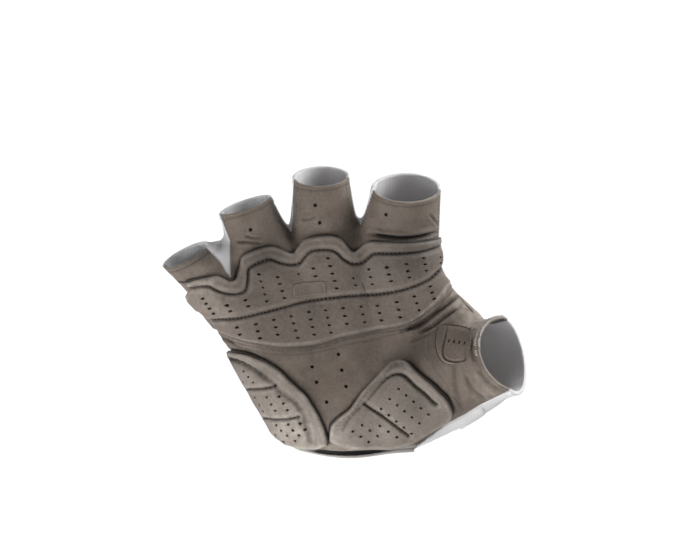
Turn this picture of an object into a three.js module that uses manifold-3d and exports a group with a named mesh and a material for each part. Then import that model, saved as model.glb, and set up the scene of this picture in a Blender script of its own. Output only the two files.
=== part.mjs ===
import * as THREE from 'three';
import { mergeVertices } from 'three/addons/utils/BufferGeometryUtils.js';
import Module from 'manifold-3d';

// Right-hand fingerless cycling glove, millimetres, +Z up towards the fingers.
// The palm faces -Y, the thumb is on +X, the origin is in the wrist opening.
// The form of a filled glove is a blend of tapered rounds; every piece is a part
// of the wall between two offsets of that form, or a pad raised on it.

const wasm = await Module();
wasm.setup();

// Driving dimensions
const WALL = 1.2;
const GAP = 0.3;
const PALM_BLEND = 2.6;
const FINGER_BLEND = 1.4;
const PALM_SIDES = 34;
const FINGER_SIDES = 16;
const PAD_EDGE = 1.5;
const PAD_TOP = 2.5;
const GROOVE_FLOOR = 1.5;
const GROOVE_WIDTH = 1.3;
const EDGE_STEP = 1.0;
const TAB_RELIEF = 0.5;
const PAD_SETBACK = 1.5;
const PATCH_TOP = 1.3;
const VENT_RADIUS = 0.7;
const BINDING_WIDTH = 2.5;
const FOURCHETTE_WIDTH = 6;

// Rounds of the palm: start point and radius, end point and radius
const PALM_ROUNDS = [
  { name: 'little_meta', ax: -24.6, ay: -2, az: 14.2, ar: 16.8, bx: -53.3, by: -5, bz: 51.5, br: 10.8 },
  { name: 'ring_meta', ax: -13.7, ay: 0, az: 13.3, ar: 14.5, bx: -41.4, by: -1, bz: 61.6, br: 11.0 },
  { name: 'middle_meta', ax: -4.7, ay: 1, az: 13.3, ar: 14.5, bx: -22.3, by: 1, bz: 65.2, br: 11.2 },
  { name: 'index_meta', ax: 3.6, ay: 1, az: 14.4, ar: 14.0, bx: 6.5, by: -1, bz: 65.9, br: 12.2 },
  { name: 'thumb_meta', ax: 6.8, ay: -4, az: 14.4, ar: 16.5, bx: 26.3, by: -13, bz: 26.3, br: 15.6 },
  { name: 'thumb_web', ax: 15.1, ay: -4, az: 53.6, ar: 8.5, bx: 28.1, by: -12, bz: 42.8, br: 7.0 },
  { name: 'index_web', ax: -14.4, ay: 0, az: 69.5, ar: 10.5, bx: -2.0, by: 0, bz: 69.5, br: 10.5 },
  { name: 'little_web', ax: -62.0, ay: -4, az: 63.5, ar: 8.5, bx: -54.5, by: -3, bz: 66.0, br: 8.5 },
  { name: 'heel_corner', ax: 20.0, ay: -5, az: 13.0, ar: 8.0, bx: 36.0, by: -14, bz: 21.8, br: 7.0 },
  { name: 'wrist_little', ax: -11.9, ay: 0, az: 7.2, ar: 16.5, bx: 0.0, by: 2, bz: -27.0, br: 16.0 },
  { name: 'wrist_thumb', ax: 9.0, ay: 0, az: 9.0, ar: 16.0, bx: 19.8, by: 2, bz: -27.0, br: 15.5 },
];

// Rounds of the five stalls
const STALL_ROUNDS = [
  { name: 'little', ax: -55.8, ay: -5, az: 54.4, ar: 10.2, bx: -74.5, by: -9, bz: 69.8, br: 7.9 },
  { name: 'ring', ax: -42.9, ay: -1, az: 66.6, ar: 12.0, bx: -51.7, by: -6, bz: 90.0, br: 9.4 },
  { name: 'middle', ax: -21.4, ay: 1, az: 69.5, ar: 12.8, bx: -23.3, by: -7, bz: 100.8, br: 9.7 },
  { name: 'index', ax: 4.4, ay: -1, az: 70.2, ar: 15.0, bx: 8.6, by: -13, bz: 97.2, br: 11.6 },
  { name: 'thumb', ax: 26.3, ay: -13, az: 27.7, ar: 15.0, bx: 50.0, by: -28, bz: 34.2, br: 14.2 },
];

// Cross-sections of each loft: the middle line runs from a to b through the hollow,
// and sink draws in an end that lies inside another loft
const SINK = 4;
const LOFTS = {
  palm: [
    { name: 'run_out', ax: -27.0, az: -15.0, bx: 35.0, bz: -14.0, ay: 0, by: 0, sink: 0 },
    { name: 'wrist', ax: -30.6, az: -5.2, bx: 32.6, bz: -2.0, ay: 0, by: 0, sink: 0 },
    { name: 'heel', ax: -42.0, az: 2.4, bx: 31.0, bz: 6.1, ay: 0, by: -1, sink: 0 },
    { name: 'heel_bulge', ax: -47.0, az: 10.3, bx: 31.5, bz: 13.6, ay: -1, by: -6, sink: 0 },
    { name: 'thumb_root', ax: -51.2, az: 17.6, bx: 31.5, bz: 20.6, ay: -2, by: -10, sink: 0 },
    { name: 'thumb_middle', ax: -54.8, az: 24.5, bx: 31.5, bz: 27.1, ay: -2, by: -12, sink: 0 },
    { name: 'web_low', ax: -58.4, az: 31.3, bx: 31.5, bz: 34.3, ay: -2, by: -12, sink: 0 },
    { name: 'web', ax: -61.5, az: 37.6, bx: 31.5, bz: 41.1, ay: -2, by: -10, sink: 0 },
    { name: 'web_top', ax: -66.2, az: 43.8, bx: 31.0, bz: 47.6, ay: -2, by: -7, sink: 0 },
    { name: 'knuckles_low', ax: -70.8, az: 49.8, bx: 26.0, bz: 53.3, ay: -1, by: -3, sink: 0 },
    { name: 'knuckles', ax: -72.0, az: 55.0, bx: 24.1, bz: 59.0, ay: -1, by: -1, sink: 0 },
    { name: 'finger_roots', ax: -60.7, az: 58.6, bx: 23.4, bz: 62.2, ay: 0, by: 0, sink: SINK },
  ],
  little: [
    { name: 'inside', ax: -62.0, az: 44.0, bx: -46.0, bz: 50.0, ay: -4, by: -4, sink: SINK },
    { name: 'root', ax: -72.0, az: 49.0, bx: -51.0, bz: 57.0, ay: -4, by: -4, sink: 0 },
    { name: 'crotch', ax: -75.5, az: 53.2, bx: -54.6, bz: 64.0, ay: -5, by: -5, sink: 0 },
    { name: 'rim', ax: -84.0, az: 60.0, bx: -62.4, bz: 76.1, ay: -9, by: -9, sink: 0 },
    { name: 'run_out', ax: -88.9, az: 65.9, bx: -68.8, bz: 80.3, ay: -10, by: -10, sink: 0 },
  ],
  ring: [
    { name: 'inside', ax: -51.0, az: 49.5, bx: -31.0, bz: 50.5, ay: -1, by: -1, sink: SINK },
    { name: 'root', ax: -55.0, az: 55.0, bx: -30.6, bz: 56.4, ay: -1, by: -1, sink: 0 },
    { name: 'crotch', ax: -59.0, az: 62.0, bx: -31.6, bz: 69.2, ay: -1, by: -1, sink: 0 },
    { name: 'above_crotch', ax: -61.8, az: 69.5, bx: -33.4, bz: 77.2, ay: -2, by: -2, sink: 0 },
    { name: 'rim', ax: -63.0, az: 83.9, bx: -39.2, bz: 90.4, ay: -5, by: -5, sink: 0 },
    { name: 'run_out', ax: -64.4, az: 88.9, bx: -40.7, bz: 95.4, ay: -6, by: -6, sink: 0 },
  ],
  middle: [
    { name: 'inside', ax: -33.0, az: 50.0, bx: -8.0, bz: 51.5, ay: 0, by: 0, sink: SINK },
    { name: 'root', ax: -32.8, az: 56.1, bx: -7.0, bz: 57.3, ay: 0, by: 0, sink: 0 },
    { name: 'crotch', ax: -34.4, az: 69.0, bx: -6.0, bz: 69.0, ay: 0, by: 0, sink: 0 },
    { name: 'above_crotch', ax: -35.6, az: 79.0, bx: -7.6, bz: 79.0, ay: -2, by: -2, sink: 0 },
    { name: 'rim', ax: -35.6, az: 94.0, bx: -11.2, bz: 94.7, ay: -6, by: -6, sink: 0 },
    { name: 'run_out', ax: -35.6, az: 103.3, bx: -11.2, bz: 104.0, ay: -8, by: -8, sink: 0 },
  ],
  index: [
    { name: 'inside', ax: -8.0, az: 51.5, bx: 21.0, bz: 52.5, ay: 0, by: 0, sink: SINK },
    { name: 'root', ax: -11.0, az: 57.2, bx: 23.6, bz: 58.6, ay: 0, by: 0, sink: 0 },
    { name: 'crotch', ax: -11.6, az: 69.0, bx: 22.0, bz: 69.0, ay: -1, by: -1, sink: 0 },
    { name: 'above_crotch', ax: -10.4, az: 79.0, bx: 22.0, bz: 79.0, ay: -5, by: -5, sink: 0 },
    { name: 'rim', ax: -6.1, az: 91.1, bx: 22.0, bz: 90.4, ay: -10, by: -10, sink: 0 },
    { name: 'run_out', ax: -4.7, az: 101.2, bx: 22.0, bz: 99.7, ay: -14, by: -14, sink: 0 },
  ],
  thumb: [
    { name: 'inside', ax: 19.0, az: 48.0, bx: 19.0, bz: 10.0, ay: -10, by: -10, sink: SINK },
    { name: 'root', ax: 27.4, az: 52.0, bx: 27.4, bz: 5.0, ay: -12, by: -12, sink: 0 },
    { name: 'middle', ax: 33.5, az: 51.3, bx: 33.5, bz: 9.0, ay: -17, by: -17, sink: 0 },
    { name: 'rim', ax: 40.0, az: 52.0, bx: 42.8, bz: 13.3, ay: -23, by: -23, sink: 0 },
    { name: 'run_out', ax: 50.0, az: 53.5, bx: 54.0, bz: 16.2, ay: -29, by: -29, sink: 0 },
  ],
};

// Openings: middle of the rim, direction across it, how far the back stands out
// beyond the front for each millimetre of depth, and half the cutter's width.
// The thumb's front leans more than its back, and the wrist is cut higher at its corners
const RIMS = [
  { name: 'little', x: -72.7, y: -8.5, z: 67.9, ux: 0.876, uz: 0.481, slope: 0.32, half: 12 },
  { name: 'ring', x: -50.4, y: -5.5, z: 86.4, ux: 0.945, uz: 0.327, slope: 0.2, half: 12.5 },
  { name: 'middle', x: -23.4, y: -6.5, z: 96.5, ux: 0.999, uz: 0.04, slope: 0.4, half: 12.5 },
  { name: 'index', x: 8.1, y: -11, z: 92.5, ux: 1, uz: -0.02, slope: 0.5, half: 14 },
  { name: 'thumb', x: 46.2, y: -24, z: 33.5, ux: 0.465, uz: -0.885, slope: 1.1, half: 20 },
  { name: 'thumb_back', x: 44.5, y: -24, z: 33.5, ux: 0.233, uz: -0.972, slope: 0.4, half: 20 },
  { name: 'wrist', x: -2.5, y: 0, z: 2.2, ux: -0.995, uz: -0.103, slope: -0.36, half: 60 },
  { name: 'wrist_thumb_corner', x: 18.0, y: -13, z: 2.0, ux: -0.898, uz: -0.44, slope: 0.09, half: 18 },
  { name: 'wrist_little_corner', x: -32.0, y: -5, z: -0.6, ux: -0.934, uz: 0.357, slope: 0, half: 14 },
];

function roundDistance(p, r) {
  const bx = r.bx - r.ax;
  const by = r.by - r.ay;
  const bz = r.bz - r.az;
  const px = p.x - r.ax;
  const py = p.y - r.ay;
  const pz = p.z - r.az;
  const along = (px * bx + py * by + pz * bz) / (bx * bx + by * by + bz * bz);
  const t = Math.min(1, Math.max(0, along));
  return Math.hypot(px - t * bx, py - t * by, pz - t * bz) - (r.ar + (r.br - r.ar) * t);
}

function blend(distances, width) {
  const least = Math.min(...distances);
  const sum = distances.reduce((total, d) => total + Math.exp((least - d) / width), 0);
  return least - width * Math.log(sum);
}

// Signed distance to the outside of the glove's wall
function gloveDistance(p) {
  const palm = blend(PALM_ROUNDS.map((r) => roundDistance(p, r)), PALM_BLEND);
  return blend([palm, ...STALL_ROUNDS.map((r) => roundDistance(p, r))], FINGER_BLEND);
}

function toSolid(geometry) {
  geometry.deleteAttribute('normal');
  geometry.deleteAttribute('uv');
  const merged = mergeVertices(geometry, 1e-4);
  const mesh = new wasm.Mesh({
    numProp: 3,
    vertProperties: Float32Array.from(merged.attributes.position.array),
    triVerts: Uint32Array.from(merged.index.array),
  });
  return new wasm.Manifold(mesh);
}

function geometryOf(vertices, triangles) {
  const geometry = new THREE.BufferGeometry();
  geometry.setAttribute('position', new THREE.Float32BufferAttribute(vertices, 3));
  geometry.setIndex(triangles);
  return geometry;
}

// One ring of a loft: rays leave the section's middle line and stop on the form
function sectionRing(row, sides, offset) {
  const length = Math.hypot(row.bx - row.ax, row.bz - row.az);
  const ux = (row.bx - row.ax) / length;
  const uz = (row.bz - row.az) / length;
  const half = length / 2;
  const reach = half - Math.min(12, 0.85 * half);
  const ring = [];
  for (let j = 0; j < sides; j += 1) {
    const angle = (2 * Math.PI * j) / sides;
    const across = Math.cos(angle);
    const deep = Math.sin(angle);
    const limit = Math.abs(across) < 1e-6 ? 60 : (half - reach * Math.abs(across)) / Math.abs(across);
    const depth = row.ay + (row.by - row.ay) * (0.5 + (0.5 * reach * across) / half);
    const p = new THREE.Vector3();
    let t = 0;
    for (let step = 0; step < 60; step += 1) {
      const s = (reach + t) * across;
      p.set((row.ax + row.bx) / 2 + ux * s, depth + deep * t, (row.az + row.bz) / 2 + uz * s);
      const rest = offset - gloveDistance(p);
      if (Math.abs(rest) < 0.002) break;
      t = Math.min(limit, Math.max(0, t + rest));
    }
    const s = (reach + t) * across;
    p.set((row.ax + row.bx) / 2 + ux * s, depth + deep * t, (row.az + row.bz) / 2 + uz * s);
    ring.push(p);
  }
  return ring;
}

function loft(rows, sides, offset) {
  const vertices = [];
  const triangles = [];
  rows.forEach((row) => {
    sectionRing(row, sides, offset - row.sink).forEach((p) => vertices.push(p.x, p.y, p.z));
  });
  for (let i = 0; i + 1 < rows.length; i += 1) {
    for (let j = 0; j < sides; j += 1) {
      const a = i * sides + j;
      const b = i * sides + ((j + 1) % sides);
      triangles.push(a, b, b + sides, a, b + sides, a + sides);
    }
  }
  const ends = [[rows[0], 0], [rows[rows.length - 1], (rows.length - 1) * sides]];
  ends.forEach(([row, start]) => {
    const centre = vertices.length / 3;
    vertices.push((row.ax + row.bx) / 2, (row.ay + row.by) / 2, (row.az + row.bz) / 2);
    for (let j = 0; j < sides; j += 1) {
      const a = start + j;
      const b = start + ((j + 1) % sides);
      triangles.push(centre, start === 0 ? b : a, start === 0 ? a : b);
    }
  });
  return toSolid(geometryOf(vertices, triangles));
}

// The whole form, grown outwards by an offset
function gloveForm(offset) {
  let form = loft(LOFTS.palm, PALM_SIDES, offset);
  STALL_ROUNDS.forEach((stall) => {
    form = form.add(loft(LOFTS[stall.name], FINGER_SIDES, offset));
  });
  return form;
}

// Cutters
function prism(points, yFrom, yTo) {
  const shape = new THREE.Shape(points.map(([x, z]) => new THREE.Vector2(x, z)));
  const geometry = new THREE.ExtrudeGeometry(shape, { depth: yTo - yFrom, bevelEnabled: false });
  geometry.rotateX(Math.PI / 2);
  geometry.translate(0, yTo, 0);
  return toSolid(geometry);
}

function sideNormal(from, to) {
  const length = Math.hypot(to[0] - from[0], to[1] - from[1]);
  return [-(to[1] - from[1]) / length, (to[0] - from[0]) / length];
}

// Moves every point of an outline sideways; a closed one joins its ends
function offsetLine(points, distance, closed) {
  return points.map((point, i) => {
    const last = points.length - 1;
    const before = points[i > 0 ? i - 1 : (closed ? last : 0)];
    const after = points[i < last ? i + 1 : (closed ? 0 : last)];
    const n1 = sideNormal(before === point ? point : before, before === point ? after : point);
    const n2 = sideNormal(after === point ? before : point, after === point ? point : after);
    const sum = [n1[0] + n2[0], n1[1] + n2[1]];
    const scale = (2 * distance) / Math.max(1, sum[0] * sum[0] + sum[1] * sum[1]);
    return [point[0] + sum[0] * scale, point[1] + sum[1] * scale];
  });
}

function ribbon(points, width) {
  const left = offsetLine(points, width / 2, false);
  const right = offsetLine(points, -width / 2, false);
  return left.concat(right.reverse());
}

function rimBox(rim, shift) {
  const u = new THREE.Vector3(rim.ux, 0, rim.uz).normalize();
  const out = new THREE.Vector3(-u.z, 0, u.x);
  const w = new THREE.Vector3(0, 1, 0).addScaledVector(out, rim.slope).normalize();
  const n = new THREE.Vector3().crossVectors(u, w);
  const box = new THREE.BoxGeometry(2 * rim.half, 90, 60);
  box.translate(0, 0, 30 + shift);
  box.applyMatrix4(new THREE.Matrix4().makeBasis(u, w, n));
  box.translate(rim.x, rim.y, rim.z);
  return toSolid(box);
}

const FIELD = { xFrom: -101, xTo: 83, zFrom: -41, zTo: 127, cell: 8 };

// Everything in front of a sheet whose depth follows a function of x and z
function inFrontOf(depth) {
  const columns = Math.round((FIELD.xTo - FIELD.xFrom) / FIELD.cell);
  const rows = Math.round((FIELD.zTo - FIELD.zFrom) / FIELD.cell);
  const vertices = [];
  const triangles = [];
  [0, 1].forEach((layer) => {
    for (let i = 0; i <= rows; i += 1) {
      for (let j = 0; j <= columns; j += 1) {
        const x = FIELD.xFrom + j * FIELD.cell;
        const z = FIELD.zFrom + i * FIELD.cell;
        vertices.push(x, layer === 0 ? -90 : depth(x, z), z);
      }
    }
  });
  const width = columns + 1;
  const top = width * (rows + 1);
  for (let i = 0; i < rows; i += 1) {
    for (let j = 0; j < columns; j += 1) {
      const a = i * width + j;
      triangles.push(a, a + 1, a + width + 1, a, a + width + 1, a + width);
      const b = top + a;
      triangles.push(b, b + width + 1, b + 1, b, b + width, b + width + 1);
    }
  }
  for (let j = 0; j < columns; j += 1) {
    const b = rows * width + j;
    triangles.push(j, top + j, top + j + 1, j, top + j + 1, j + 1);
    triangles.push(b, b + 1, top + b + 1, b, top + b + 1, top + b);
  }
  for (let i = 0; i < rows; i += 1) {
    const a = i * width;
    const b = a + columns;
    triangles.push(a, a + width, top + a + width, a, top + a + width, top + a);
    triangles.push(b, top + b, top + b + width, b, top + b + width, b + width);
  }
  return toSolid(geometryOf(vertices, triangles));
}

// Seam between the leather front and the fabric behind it
const SEAM = {
  depth: -1,
  curl: 0.22,
  indexCurl: 0.2,
  thumbSlope: 0.6,
  thumbStart: 14,
  littleDrop: 4,
  littleLean: 0.7,
  outerWrap: 6,
};

function ramp(value, from, to) {
  return Math.min(1, Math.max(0, (value - from) / (to - from)));
}

function seamDepth(x, z) {
  const rootHeight = 66 + 0.2 * Math.min(0, x + 20);
  const curl = (SEAM.curl + SEAM.indexCurl * ramp(x, -12, 0)) * Math.max(0, z - rootHeight);
  const thumb = SEAM.thumbSlope * Math.max(0, x - SEAM.thumbStart) * ramp(z, 70, 60);
  const little = SEAM.littleDrop * ramp(x + SEAM.littleLean * Math.max(0, z - 60), -44, -54);
  const outerLine = -30 - 0.76 * z;
  const wrap = SEAM.outerWrap * ramp(x - outerLine, 18, 4) * ramp(z, 62, 52);
  return SEAM.depth - curl - thumb - little + wrap;
}

// Lines drawn on the palm, as x and z
const LEATHER_CORNER = [
  [70, 28], [44.6, 20.2], [39.6, 17.6], [34.2, 14.8], [28.8, 11.5],
  [23.4, 8.6], [18.0, 4.7], [12.6, 0.7], [10.4, -1.4], [8, -30], [70, -30],
];
const THUMB_ZONE = [
  [24.6, 62], [22.3, 50.4], [17.6, 45.7], [15.5, 39.6], [15.5, 33.5], [17.6, 27.7],
  [21.2, 22.7], [24.5, 17.6], [27.0, 13.3], [29.4, 4], [80, 4], [80, 62],
];
// Notches in the leather between neighbouring stalls, filled by the fourchettes
const CROTCH_NOTCHES = {
  little_ring: [
    [-66.6, 76.7], [-59.7, 83.4], [-57.7, 78.5], [-55.7, 73.6], [-55.3, 66.1], [-55.1, 60.1],
    [-57.2, 62.3], [-59.0, 65.5], [-62.3, 69.1], [-65.2, 72.0],
  ],
  ring_middle: [
    [-41.0, 90.7], [-33.5, 92.0], [-33.1, 84.0], [-33.6, 76.2], [-36.0, 79.9], [-38.5, 84.6],
  ],
  middle_index: [
    [-12.2, 93.2], [-4.0, 92.9], [-5.4, 88.2], [-7.6, 83.2], [-9.0, 78.8], [-10.4, 83.9], [-11.5, 88.2],
  ],
};
const STRIP_ZONES = {
  fourchette_little_ring: [
    [-52, 50], [-43, 50], [-43.2, 66.6], [-54, 99], [-75, 99], [-83, 82], [-55.8, 54.4],
  ],
  fourchette_ring_middle: [
    [-43, 60], [-22.3, 60], [-22.3, 69.5], [-23.6, 106], [-45, 106], [-55.5, 100], [-43.2, 66.6],
  ],
  fourchette_middle_index: [
    [-22, 62], [5, 62], [5.4, 70.2], [8.9, 103], [-6, 108], [-23.6, 106], [-22.3, 69.5],
  ],
};
const VENTS = [
  [-16.7, 32.8], [-26.1, 28.4], [-15.5, 27.2], [-24.5, 22.9], [-14.0, 21.4], [-20.9, 15.8],
  [-48.2, 77.4], [-25.0, 86.2], [-23.4, 79.9], [0.4, 82.8],
];
const KNUCKLE_PAD = {
  outline: [
    [-71.2, 58.9], [-60.1, 61.0], [-53.6, 58.9], [-51.8, 67.3], [-40.7, 71.5], [-34.2, 68.9],
    [-27.0, 74.7], [-19.8, 75.4], [-15.5, 73.8], [-11.9, 69.8], [-4.7, 73.4], [12.6, 73.4],
    [27.0, 75.2], [27.0, 55.0], [20.2, 52.2], [10.8, 44.3], [1.8, 41.0], [-27.0, 34.6],
    [-41.4, 34.4], [-54.0, 36.7], [-58.7, 40.0], [-78, 40.0],
    [-78, 51.0], [-71.6, 53.6], [-70.4, 56.0],
  ],
  grooves: [
    [
      [-80, 56.0], [-63.7, 57.2], [-52.2, 54.5], [-49.0, 63.0], [-40.7, 66.6], [-31.6, 64.8],
      [-26.3, 69.7], [-19.1, 70.0], [-10.1, 65.2], [-3.2, 68.9], [12.6, 69.5], [28, 72.4],
    ],
    [
      [-80, 44.0], [-50.4, 46.1], [-28.8, 51.5], [-1.8, 54.4], [13, 58.2], [28, 66.0],
    ],
  ],
};
const OUTER_HEEL_PAD = {
  outline: [
    [-72, 33.0], [-56.5, 33.8], [-52.2, 33.5], [-45.0, 31.3], [-37.8, 27.0], [-30.6, 20.2],
    [-26.6, 14.8], [-22.3, 7.6], [-20.5, 2.5], [-22.0, 0.4], [-30.0, -0.4], [-35.0, 0.7],
    [-38.0, 2.3], [-42.0, 4.3], [-60, 13.0],
  ],
  grooves: [
    [[-70, 30.4], [-51.1, 29.4], [-42.1, 25.6], [-29.5, 12.2], [-27.7, 3]],
    [[-64, 17.4], [-44.3, 20.5], [-36.7, 22.0]],
    [[-62, 11.4], [-45.7, 10.1], [-37.8, 9.5], [-29.9, 10.8]],
  ],
};
const THUMB_HEEL_PAD = {
  outline: [
    [-19.0, 7.0], [-12.6, 13.7], [-5.4, 22.3], [1.1, 28.8], [3.2, 30.2], [5.8, 30.6],
    [8.3, 29.9], [13.7, 24.8], [19.8, 19.4], [22.6, 14.8], [22.0, 11.0], [16.0, 6.4],
    [9.6, 1.4], [2.0, -0.4], [-12.6, -0.6], [-18.0, 1.8],
  ],
  grooves: [
    [[-15.1, 3.4], [-12.6, 10.1], [-5.4, 17.3], [1.1, 24.5], [6.1, 25.6], [10.8, 21.6], [18.4, 14.8]],
    [[-6.5, 14.8], [-1.8, 11.5], [5.4, 6.1], [9.4, 3.2]],
  ],
};
const TAB = [[-32.8, 57.6], [-31.8, 58.6], [-22.6, 59.2], [-21.6, 58.4], [-21.4, 55.0], [-22.4, 54.2],
  [-31.8, 53.4], [-32.8, 54.2]];
const THUMB_PATCH = [
  [20.2, 40.3], [22.0, 42.1], [27.7, 42.8], [30.2, 41.0], [30.6, 36.0], [29.2, 31.3],
  [26.3, 29.5], [21.2, 30.6], [19.4, 34.2],
];

// The hollow wall, open at the wrist and at the five stalls
let shell = gloveForm(0).subtract(gloveForm(-WALL));
RIMS.forEach((rim) => {
  shell = shell.subtract(rimBox(rim, 0));
});

function moved(points, dx, dz) {
  return points.map(([x, z]) => [x + dx, z + dz]);
}

// Leather in front, fabric behind, with the seam gap between them
const cornerCut = prism(moved(LEATHER_CORNER, 0, GAP / 2), -90, 90);
const cornerKeep = prism(moved(LEATHER_CORNER, 0, -GAP / 2), -90, 90);
let leatherSide = inFrontOf((x, z) => seamDepth(x, z) - GAP / 2).subtract(cornerCut);
let fabricLimit = inFrontOf((x, z) => seamDepth(x, z) + GAP / 2).subtract(cornerKeep);
Object.values(CROTCH_NOTCHES).forEach((notch) => {
  leatherSide = leatherSide.subtract(prism(offsetLine(notch, GAP / 2, true), -90, 90));
  fabricLimit = fabricLimit.subtract(prism(offsetLine(notch, -GAP / 2, true), -90, 90));
});
let leather = shell.intersect(leatherSide);
let fabric = shell.subtract(fabricLimit);

// Fourchettes between neighbouring stalls
const stripFront = inFrontOf((x, z) => seamDepth(x, z) + FOURCHETTE_WIDTH - GAP / 2);
const stripBack = inFrontOf((x, z) => seamDepth(x, z) + FOURCHETTE_WIDTH + GAP / 2);
const pieces = {};
const wholeFabric = fabric;
Object.entries(STRIP_ZONES).forEach(([name, zone]) => {
  const column = prism(zone, -90, 90);
  pieces[name] = wholeFabric.intersect(stripFront).intersect(column);
  fabric = fabric.subtract(stripBack.intersect(column));
});
pieces.back_panel = fabric;

// Binding along the palm edge of the wrist, then the palm and the thumb
const wristRim = RIMS.find((rim) => rim.name === 'wrist');
const bindingZone = rimBox(wristRim, -BINDING_WIDTH);
pieces.wrist_binding = leather.intersect(bindingZone);
leather = leather.subtract(rimBox(wristRim, -BINDING_WIDTH - GAP));
pieces.thumb_panel = leather.intersect(prism(moved(THUMB_ZONE, GAP / 2, 0), -90, 90));
let palm = leather.subtract(prism(moved(THUMB_ZONE, -GAP / 2, 0), -90, 90));
VENTS.forEach(([x, z]) => {
  const sides = Array.from({ length: 6 }, (_, i) => (Math.PI * i) / 3);
  const hole = sides.map((a) => [x + VENT_RADIUS * Math.cos(a), z + VENT_RADIUS * Math.sin(a)]);
  palm = palm.subtract(prism(hole, -90, seamDepth(x, z)));
});
pieces.palm_panel = palm;

// Raised pads
const padFloor = gloveForm(GAP);
const padEdge = gloveForm(GAP + PAD_EDGE);
const padTop = gloveForm(GAP + PAD_TOP);
const grooveFloor = gloveForm(GAP + GROOVE_FLOOR);

const padLimit = inFrontOf((x, z) => seamDepth(x, z) - PAD_SETBACK);

function raisedPad({ outline, grooves }) {
  const skirt = prism(outline, -90, 90).intersect(padEdge);
  const crown = prism(offsetLine(outline, -EDGE_STEP, true), -90, 90).intersect(padTop);
  let pad = skirt.add(crown).subtract(padFloor).intersect(padLimit);
  grooves.forEach((line) => {
    pad = pad.subtract(prism(ribbon(line, GROOVE_WIDTH), -90, 90).subtract(grooveFloor));
  });
  return pad;
}

const tab = prism(TAB, -90, -6).intersect(gloveForm(GAP + PAD_TOP + TAB_RELIEF)).subtract(padFloor);
pieces.knuckle_pad = raisedPad(KNUCKLE_PAD).add(tab);
pieces.outer_heel_pad = raisedPad(OUTER_HEEL_PAD);
pieces.thumb_heel_pad = raisedPad(THUMB_HEEL_PAD);
pieces.thumb_patch = prism(THUMB_PATCH, -90, -6).intersect(gloveForm(GAP + PATCH_TOP)).subtract(padFloor);

// Colours of leather, pad, fabric and binding
const LOOKS = {
  leather: { color: 0x6f675f, roughness: 0.75 },
  pad: { color: 0x77706a, roughness: 0.7 },
  fabric: { color: 0xe6e6e4, roughness: 0.9 },
  binding: { color: 0xb9b4ac, roughness: 0.85 },
};
const LOOK_OF = {
  palm_panel: 'leather',
  thumb_panel: 'leather',
  thumb_patch: 'leather',
  knuckle_pad: 'pad',
  outer_heel_pad: 'pad',
  thumb_heel_pad: 'pad',
  back_panel: 'fabric',
  fourchette_little_ring: 'fabric',
  fourchette_ring_middle: 'fabric',
  fourchette_middle_index: 'fabric',
  wrist_binding: 'binding',
};

function toMesh(name, solid) {
  const { vertProperties, triVerts } = solid.getMesh();
  const geometry = geometryOf(Array.from(vertProperties), Array.from(triVerts));
  geometry.computeVertexNormals();
  const mesh = new THREE.Mesh(geometry, new THREE.MeshStandardMaterial(LOOKS[LOOK_OF[name]]));
  mesh.name = name;
  return mesh;
}

const group = new THREE.Group();
Object.entries(pieces).forEach(([name, solid]) => group.add(toMesh(name, solid)));

export default group;
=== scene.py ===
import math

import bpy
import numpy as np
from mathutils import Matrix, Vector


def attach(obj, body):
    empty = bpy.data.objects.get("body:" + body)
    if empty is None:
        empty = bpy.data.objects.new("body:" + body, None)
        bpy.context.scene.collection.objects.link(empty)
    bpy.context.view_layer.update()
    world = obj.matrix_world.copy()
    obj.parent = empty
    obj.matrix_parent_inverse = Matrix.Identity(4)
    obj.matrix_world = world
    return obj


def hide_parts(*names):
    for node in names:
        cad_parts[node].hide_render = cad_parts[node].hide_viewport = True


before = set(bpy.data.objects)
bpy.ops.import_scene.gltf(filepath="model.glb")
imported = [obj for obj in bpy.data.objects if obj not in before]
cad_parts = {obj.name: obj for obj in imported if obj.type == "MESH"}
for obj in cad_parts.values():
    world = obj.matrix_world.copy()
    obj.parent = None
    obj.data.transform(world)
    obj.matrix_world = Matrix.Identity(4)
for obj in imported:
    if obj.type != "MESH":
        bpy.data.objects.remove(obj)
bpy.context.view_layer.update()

# Looks of a right-hand fingerless cycling glove. The form, its seams and its pads
# are worked out in millimetres from the same rounds and lines as the CAD solids,
# +Z towards the fingers, palm facing -Y, and written into meshes in metres.

MM = 0.001

# Wall and seams, in millimetres
WALL = 1.2
PALM_BLEND = 2.6
FINGER_BLEND = 1.4
SEAM_GAP = 0.1
EDGE = 0.45
THIN_EDGE = 0.3
EDGE_DROP = 0.3
NET_STEP = 0.8
NET_LOW, NET_HIGH = (-85, -44, -8), (56, 20, 106)
CUT_MARGIN = 2.5
LEAST_SLANT = 0.12
SHARP_ANGLE = 48

# Rounds of the palm and stalls: start point and radius, end point and radius
PALM_ROUNDS = (
    (-24.6, -2, 14.2, 16.8, -53.3, -5, 51.5, 10.8),
    (-13.7, 0, 13.3, 14.5, -41.4, -1, 61.6, 11.0),
    (-4.7, 1, 13.3, 14.5, -22.3, 1, 65.2, 11.2),
    (3.6, 1, 14.4, 14.0, 6.5, -1, 65.9, 12.2),
    (6.8, -4, 14.4, 16.5, 26.3, -13, 26.3, 15.6),
    (15.1, -4, 53.6, 8.5, 28.1, -12, 42.8, 7.0),
    (-14.4, 0, 69.5, 10.5, -2.0, 0, 69.5, 10.5),
    (-62.0, -4, 63.5, 8.5, -54.5, -3, 66.0, 8.5),
    (20.0, -5, 13.0, 8.0, 36.0, -14, 21.8, 7.0),
    (-11.9, 0, 7.2, 16.5, 0.0, 2, -27.0, 16.0),
    (9.0, 0, 9.0, 16.0, 19.8, 2, -27.0, 15.5),
)
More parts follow.
